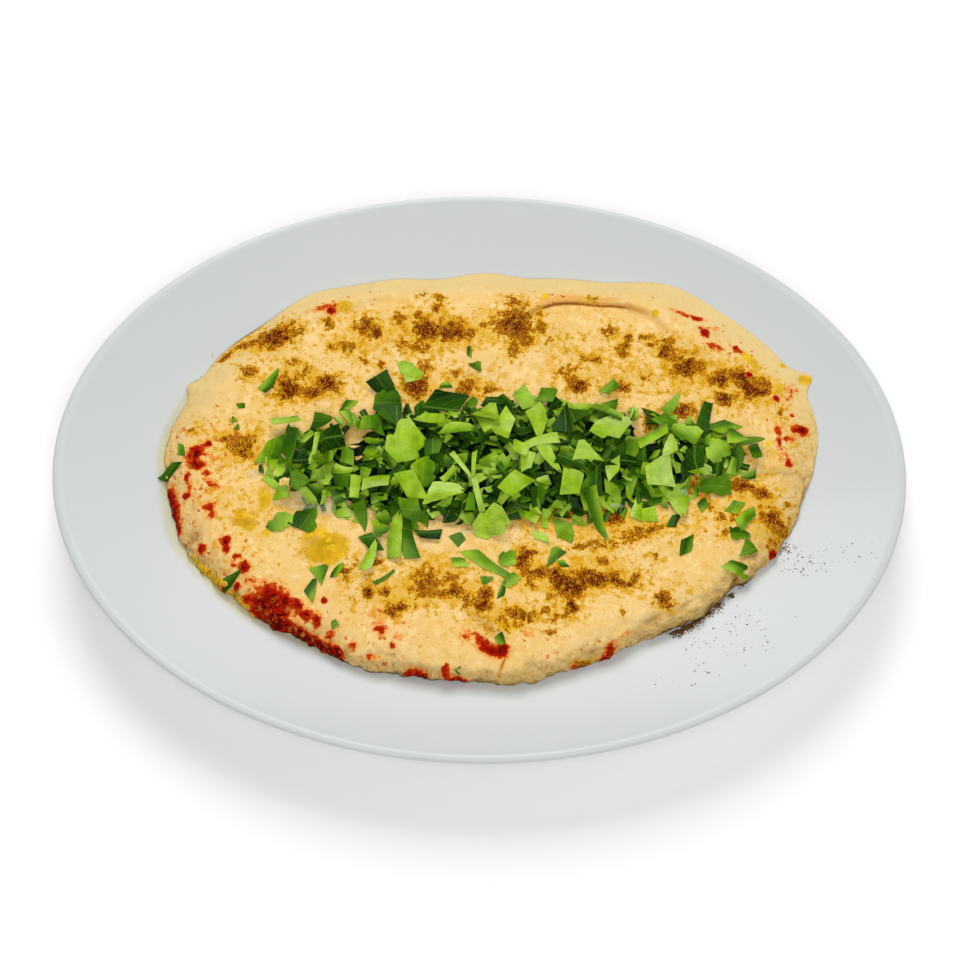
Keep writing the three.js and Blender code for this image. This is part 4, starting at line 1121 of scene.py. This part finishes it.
def laid_points(shape, row, tilt, curl, draw, ground):
    """A cut leaf's points at its size and place, curled, tilted with the ground and laid over it."""
    x, y, length, width, turn = row[:5]
    along, across = shape[:, 0], shape[:, 1]
    points = shape * np.array([length, width, 1])
    points[:, 1] *= 1 + draw.uniform(-0.5, 0.5) * along
    points[:, 1] += draw.uniform(-0.3, 0.3) * length * along**2
    points[:, 0] += draw.uniform(-0.25, 0.25) * width * across
    points[:, 2] += curl * draw.uniform(-0.6, 1) * length * along**2
    points[:, 2] += curl * draw.uniform(-1, 1) * width * np.abs(across)
    points[:, 2] += curl * draw.uniform(-1, 1) * length * along * across
    roll, pitch = (math.radians(draw.uniform(-tilt, tilt)) for _ in range(2))
    spin = Matrix.Rotation(math.radians(turn), 3, "Z")
    spin = spin @ Matrix.Rotation(roll, 3, "X") @ Matrix.Rotation(pitch, 3, "Y")
    points = points @ np.array(spin).T + np.array([x, y, 0])
    step = 2.0
    slope_x = float(ground(x + step, y) - ground(x - step, y)) / (2 * step)
    slope_y = float(ground(x, y + step) - ground(x, y - step)) / (2 * step)
    points[:, 2] += float(ground(x, y)) + slope_x * (points[:, 0] - x) + slope_y * (points[:, 1] - y)
    return points


def laid_over(points, clearance):
    """Keeps a leaf under the highest reach, and bends what would sink into the dip over it."""
    points[:, 2] -= max(0, float(points[:, 2].max()) - HEAP_REACH)
    points[:, 2] = np.maximum(points[:, 2], dip_top(points[:, 0], points[:, 1]) + clearance)
    return points


def in_gap(x, y, length):
    return any(math.hypot(x - at_x, y - at_y) < radius + 0.35 * length for at_x, at_y, radius in HEAP_GAPS)


def filling_leaves(draw):
    """Small dark pieces that fill the heap, their darkness partly painted shade, spread evenly by the golden
    angle.
    """
    cuts = leaf_cuts(10, 6)
    golden = math.pi * (3 - math.sqrt(5))
    leaves = []
    for i in range(FILLERS):
        share, angle = math.sqrt((i + 0.5) / FILLERS) * 1.04, i * golden
        x, y = on_heap(share * HEAP_LENGTH * math.cos(angle), share * HEAP_WIDTH * math.sin(angle))
        length = draw.uniform(3, 9)
        if in_gap(x, y, length):
            continue
        row = (x, y, length, length * draw.uniform(0.3, 0.8), draw.uniform(0, 360))
        shape, faces, uv = draw.choice(cuts[draw.choice(FILLER_KINDS)])
        points = laid_points(shape, row, 28, 0.3, draw, heap_top)
        points[:, 2] -= draw.uniform(1.4, 3.6)
        tone = shaded_tone(shape, draw.choice(FILLER_TONES) + 0.06 * (x - HEAP_X) / HEAP_LENGTH, draw)
        leaves.append((laid_over(points, draw.uniform(0.2, 0.7)), faces, uv, tone))
    return leaves


def shown_leaves(draw):
    """The larger pieces that show on the heap."""
    cuts = leaf_cuts(24, 10)
    leaves = []
    for i, row in enumerate(HEAP_LEAVES):
        tone, kind = row[5:]
        shape, faces, uv = cuts[kind][i % len(cuts[kind])]
        points = laid_points(shape, row, 15, 0.3, draw, heap_top)
        points[:, 2] += 0.4 + 1.4 * tone
        tone = shaded_tone(shape, tone + draw.uniform(-0.06, 0.06), draw)
        leaves.append((laid_over(points, draw.uniform(0.3, 1.0)), faces, uv, tone))
    return leaves


def loose_leaves(draw):
    """Single pieces lying on the dip, bent to it."""
    cuts = leaf_cuts(24, 10)
    leaves = []
    for i, row in enumerate(LOOSE_LEAVES):
        tone, kind = row[5:]
        shape, faces, uv = cuts[kind][i % len(cuts[kind])]
        points = laid_points(shape, row, 6, 0.24, draw, dip_top)
        leaves.append((laid_over(points, 0.35), faces, uv, shaded_tone(shape, tone, draw)))
    return leaves


def leaves_piece(name, leaves, material):
    """Laid leaves joined into one piece and given their thickness."""
    points, faces, uvs, tones = zip(*leaves)
    starts = np.cumsum([0] + [len(leaf) for leaf in points]).tolist()
    joined = [tuple(start + i for i in face) for start, leaf in zip(starts, faces) for face in leaf]
    piece = mesh_piece(name, points, joined)
    layer = piece.data.uv_layers.new(name="UVMap")
    layer.data.foreach_set("uv", np.concatenate(uvs).astype(np.float32).ravel())
    give_attribute(piece, "tone", np.concatenate(tones))
    pick(piece)
    wall = piece.modifiers.new("Thickness", "SOLIDIFY")
    wall.thickness = LEAF_THICKNESS
    wall.offset = 0
    bpy.ops.object.modifier_apply(modifier=wall.name)
    settle(piece, material)
    bpy.ops.object.shade_smooth_by_angle(angle=math.radians(40))
    return piece


def make_heap_core(material):
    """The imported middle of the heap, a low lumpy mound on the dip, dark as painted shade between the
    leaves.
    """
    deselect()
    bpy.ops.mesh.primitive_uv_sphere_add(segments=96, ring_count=24, radius=1)
    core = named("parsley_core_in_shade")
    ball_x, ball_y, ball_z = points_of(core).T
    x, y = on_heap(ball_x * HEAP_LENGTH * 0.9, ball_y * HEAP_WIDTH * 0.86)
    thickness = HEAP_HEIGHT * np.sqrt(np.maximum(0, 1 - ball_x**2 - ball_y**2)) + 0.8
    rise = np.maximum(0, ball_z) ** 0.7 * 0.5 * thickness
    lumps = lumps_of(rows(x, y, 0 * x), 4, 3) * 1.2 * np.maximum(0, ball_z)
    gaps = spots_at(x, y, [(at_x, at_y, radius, radius, 0, 1) for at_x, at_y, radius in HEAP_GAPS])
    ground = dip_top(x, y)
    z = ground - 0.4 + np.maximum(0, rise + lumps) * (1 - gaps)
    set_points(core, rows(x, y, np.where(ball_z < -0.01, ground - 0.6, z)))
    return settle(core, material)


# ---- Oil ----


def make_oil_film(material):
    """A strip of oil against the dip's edge, deep at the dip and rounded off at its outer edge."""
    deselect()
    bpy.ops.mesh.primitive_grid_add(x_subdivisions=OIL_FILM_GRID[0], y_subdivisions=OIL_FILM_GRID[1], size=1)
    film = named("oil_round_the_edge")
    points = points_of(film)
    along, outwards = points[:, 0] + 0.5, points[:, 1] + 0.5
    angle = OIL_FILM_TO + (OIL_FILM_FROM - OIL_FILM_TO) * along
    swell = np.sqrt(np.maximum(0, np.sin(np.pi * along)))
    reach = 0.4 + (OIL_FILM_REACH + 0.6 * np.sin(0.3 * angle)) * swell
    angles = np.unique(angle)
    evened = np.convolve(np.pad(dip_edge(angles), 12, "edge"), np.ones(25) / 25, "valid")
    shore = np.interp(angle, angles, evened) + reach
    distance = (dip_edge(angle) - 0.3) * (1 - outwards) + shore * outwards
    x, y = distance * np.cos(np.radians(angle)), distance * np.sin(np.radians(angle))
    rounded = np.sqrt(np.maximum(0, 1 - outwards**2)) * (1 - 0.5 * outwards)
    depth = OIL_FILM_DEPTH * (0.4 + 0.6 * swell) * rounded
    set_points(film, rows(x, y, platter_top(x, y) + 0.06 + depth))
    give_attribute(film, "depth", np.clip(2.2 * (1 - outwards), 0, 1))
    edit("SELECT")
    bpy.ops.mesh.extrude_region_move()
    leave_edit()
    points, lower = points_of(film), chosen_points(film)
    points[lower, 2] = platter_top(points[lower, 0], points[lower, 1]) + 0.03
    set_points(film, points)
    bpy.ops.object.mode_set(mode="EDIT")
    turn_outwards()
    leave_edit()
    return settle(film, material)


def make_puddle(name, x, y, length, width, material, seed):
    """A pool of oil with an uneven shore, its level just over the hollow that holds it."""
    deselect()
    bpy.ops.mesh.primitive_uv_sphere_add(segments=48, ring_count=16, radius=1)
    puddle = named(name)
    ball_x, ball_y, ball_z = points_of(puddle).T
    shore = wavy(np.arctan2(ball_y, ball_x), ((2, 0.16, seed), (3, 0.12, 2 * seed), (7, 0.05, 0)))
    x, y = x + ball_x * shore * length, y + ball_y * shore * width
    ground = dip_top(x, y)
    z = np.where(ball_z > 0, ground + 0.25 * np.maximum(0, ball_z) ** 0.8, ground - 0.4)
    set_points(puddle, rows(x, y, z))
    give_attribute(puddle, "depth", np.clip(ball_z, 0, 1) ** 1.5)
    return settle(puddle, material)


def make_liquid(material):
    """Little domes of liquid caught between the leaves, joined."""
    deselect()
    bpy.ops.mesh.primitive_uv_sphere_add(segments=24, ring_count=12, radius=1)
    blank = named("liquid_dome")
    ball_x, ball_y, ball_z = points_of(blank).T
    faces = [tuple(face.vertices) for face in blank.data.polygons]
    bpy.data.objects.remove(blank)
    points, joined = [], []
    for i, (at_x, at_y, length, width, lift) in enumerate(LIQUID):
        shore = wavy(np.arctan2(ball_y, ball_x), ((2, 0.2, i), (3, 0.15, 2 * i)))
        x, y = at_x + ball_x * shore * length, at_y + ball_y * shore * width
        height = np.where(ball_z > 0, 0.55 * min(length, width, 1.6), 0.3)
        points.append(rows(x, y, dip_top(x, y) + lift + 0.2 + ball_z * height))
        joined += [tuple(index + i * len(ball_z) for index in face) for face in faces]
    liquid = mesh_piece("clear_liquid", points, joined)
    give_attribute(liquid, "depth", np.tile(np.clip(1.6 * ball_z, 0, 1), len(LIQUID)))
    return settle(liquid, material)


# ---- Scattered grains ----

GRAIN_POINTS = np.array([(1, 0, 0), (-1, 0, 0), (0, 1, 0), (0, -1, 0), (0, 0, 1), (0, 0, -1)], dtype=float)
GRAIN_FACES = np.array([(0, 2, 4), (2, 1, 4), (1, 3, 4), (3, 0, 4),
                        (2, 0, 5), (1, 2, 5), (3, 1, 5), (0, 3, 5)])
DROP_HEIGHT = 60


def dusting(spots, per_area, draw):
    """Random places over the spots, more where they are stronger."""
    places = []
    for x, y, length, width, turn, strength in spots:
        count = int(per_area * length * width * strength**1.5) + 2
        c, s = math.cos(math.radians(turn)), math.sin(math.radians(turn))
        for _ in range(count):
            along, across = draw.gauss(0, 0.5) * length, draw.gauss(0, 0.5) * width
            places.append((x + along * c - across * s, y + along * s + across * c))
    return places


def spilling(draw):
    """Random places on the platter round each spill, clear of the dip."""
    places = [(draw.gauss(x, spread * 0.6), draw.gauss(y, spread * 0.4))
              for x, y, spread, count in SPILLS for _ in range(count)]
    return [(x, y) for x, y in places if math.hypot(x, y) > dip_edge(math.degrees(math.atan2(y, x))) + 0.2]


def dropped(places, ground):
    """Where places in plan meet the ground, from above."""
    starts = (Vector((x, y, DROP_HEIGHT)) * MM for x, y in places)
    hits = (ground.ray_cast(start, Vector((0, 0, -1)))[0] for start in starts)
    return [np.array(hit) / MM for hit in hits if hit]


def dust(name, places, ground, smallest, largest, material, draw):
    """Little rough grains on the ground, joined into one piece."""
    found = dropped(places, ground)
    sizes = [draw.uniform(smallest, largest) for _ in found]
    tones = [draw.random() for _ in found]
    points, faces = [], []
    for i, (place, size) in enumerate(zip(found, sizes)):
        stretch = np.array([draw.uniform(0.6, 1.4), draw.uniform(0.6, 1.2), draw.uniform(0.5, 0.9)])
        turn = Matrix.Rotation(draw.uniform(0, math.pi), 3, "Z") @ Matrix.Rotation(draw.uniform(0, 1), 3, "X")
        points.append((GRAIN_POINTS * stretch * size) @ np.array(turn).T + place)
        faces += (GRAIN_FACES + len(GRAIN_POINTS) * i).tolist()
    piece = mesh_piece(name, points, faces)
    give_attribute(piece, "tone", np.repeat(tones, len(GRAIN_POINTS)))
    return settle(piece, material)


# ---- Making the pieces ----

oval_platter = make_platter(glaze_finish())
chickpea_dip = make_dip(dip_finish())
parsley = parsley_finish()
parsley_core_in_shade = make_heap_core(shade_finish())
draw = random.Random(7)
parsley_heap = leaves_piece("parsley_chopped", filling_leaves(draw) + shown_leaves(draw), parsley)
parsley_loose = leaves_piece("parsley_loose", loose_leaves(random.Random(5)), parsley)
oil_film = make_oil_film(oil_finish("oil_thin", (0.90, 0.80, 0.22), 0.13, 12, 0.04))
golden_oil = oil_finish("oil_deep", (0.84, 0.53, 0.003), 0.55, 3, 0.2)
puddles = [make_puddle(name + "_pool", x, y, length, width, golden_oil, seed)
           for seed, (name, x, y, length, width) in enumerate(PUDDLES)]
clear_liquid = make_liquid(oil_finish("liquid", (0.60, 0.72, 0.50), 0.22, 3, 0.08))

dip_ground = BVHTree.FromObject(chickpea_dip, bpy.context.evaluated_depsgraph_get())
platter_ground = BVHTree.FromObject(oval_platter, bpy.context.evaluated_depsgraph_get())
cumin_finish = spice_finish("cumin", (0.11, 0.016, 0.0004), (0.62, 0.26, 0.01))
paprika_finish = spice_finish("paprika", (0.28, 0.001, 0.0002), (0.72, 0.035, 0.001))
spilled_finish = spice_finish("spilled", (0.02, 0.006, 0.001), (0.2, 0.085, 0.018))
draw = random.Random(3)
cumin_places = dusting(CUMIN, 3.5, draw)
cumin_grains = dust("cumin_grains", cumin_places, dip_ground, 0.12, 0.26, cumin_finish, draw)
paprika_places = dusting(PAPRIKA, 3, draw)
paprika_grains = dust("paprika_grains", paprika_places, dip_ground, 0.14, 0.3, paprika_finish, draw)
spilled_places = spilling(draw)
spilled_spice = dust("spice_on_platter", spilled_places, platter_ground, 0.14, 0.36, spilled_finish, draw)

# ---- Stage, light and camera ----


def make_floor():
    deselect()
    bpy.ops.mesh.primitive_plane_add(size=6)
    floor = named("floor")
    floor.data.materials.append(Finish("floor").surface((0.98, 0.98, 0.98, 1), 0.9))


def looking_from(azimuth, elevation):
    """The way back from the platter to who looks at it, and the turn of a lamp or camera there."""
    a, e = math.radians(azimuth), math.radians(elevation)
    back = Vector((math.sin(a) * math.cos(e), -math.cos(a) * math.cos(e), math.sin(e)))
    return back, back.to_track_quat("Z", "Y").to_matrix()


def soft_light(name, azimuth, elevation, distance, size, watts):
    """A square soft light that looks at the platter; azimuth 0 is the diner's side."""
    light = bpy.data.lights.new(name, "AREA")
    light.size = size
    light.energy = watts
    lamp = bpy.data.objects.new(name, light)
    back, turn = looking_from(azimuth, elevation)
    lamp.location = back * distance
    lamp.rotation_euler = turn.to_euler()
    bpy.context.collection.objects.link(lamp)


def make_camera():
    data = bpy.data.cameras.new("camera")
    data.lens = CAMERA_LENS
    data.sensor_width = CAMERA_SENSOR
    data.clip_start = 0.01
    camera = bpy.data.objects.new("camera", data)
    back, level = looking_from(0, CAMERA_ELEVATION)
    camera.location = (Vector(CAMERA_AIM) + back * CAMERA_DISTANCE) * MM
    camera.rotation_euler = (level @ Matrix.Rotation(math.radians(CAMERA_ROLL), 3, "Z")).to_euler()
    bpy.context.collection.objects.link(camera)
    bpy.context.scene.camera = camera


make_floor()
for name, settings in LIGHTS.items():
    soft_light(name, *settings)
make_camera()
world = bpy.data.worlds.new("studio")
world.use_nodes = True
background = world.node_tree.nodes["Background"]
background.inputs["Color"].default_value = (1, 1, 1, 1)
background.inputs["Strength"].default_value = ROOM_LIGHT
bpy.context.scene.world = world
bpy.context.scene.view_settings.view_transform = "Standard"

# ---- Handing over ----

HANDED = (
    (oval_platter, "glaze", ("platter",)),
    (chickpea_dip, "dip", ("hummus",)),
    (parsley_core_in_shade, "parsley", ("parsley_heap",)),
    (parsley_heap, "parsley", ("parsley_heap",)),
    (parsley_loose, "parsley", ()),
    (oil_film, "oil", ("oil_film",)),
    (puddles[0], "oil", ("oil_puddle_large",)),
    (puddles[1], "oil", ("oil_puddle_small",)),
    (clear_liquid, "oil", ()),
    (cumin_grains, "dip", ()),
    (paprika_grains, "dip", ()),
    (spilled_spice, "dip", ()),
)
for piece, slot, nodes in HANDED:
    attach(piece, "root")
    if nodes:
        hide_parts(*nodes)
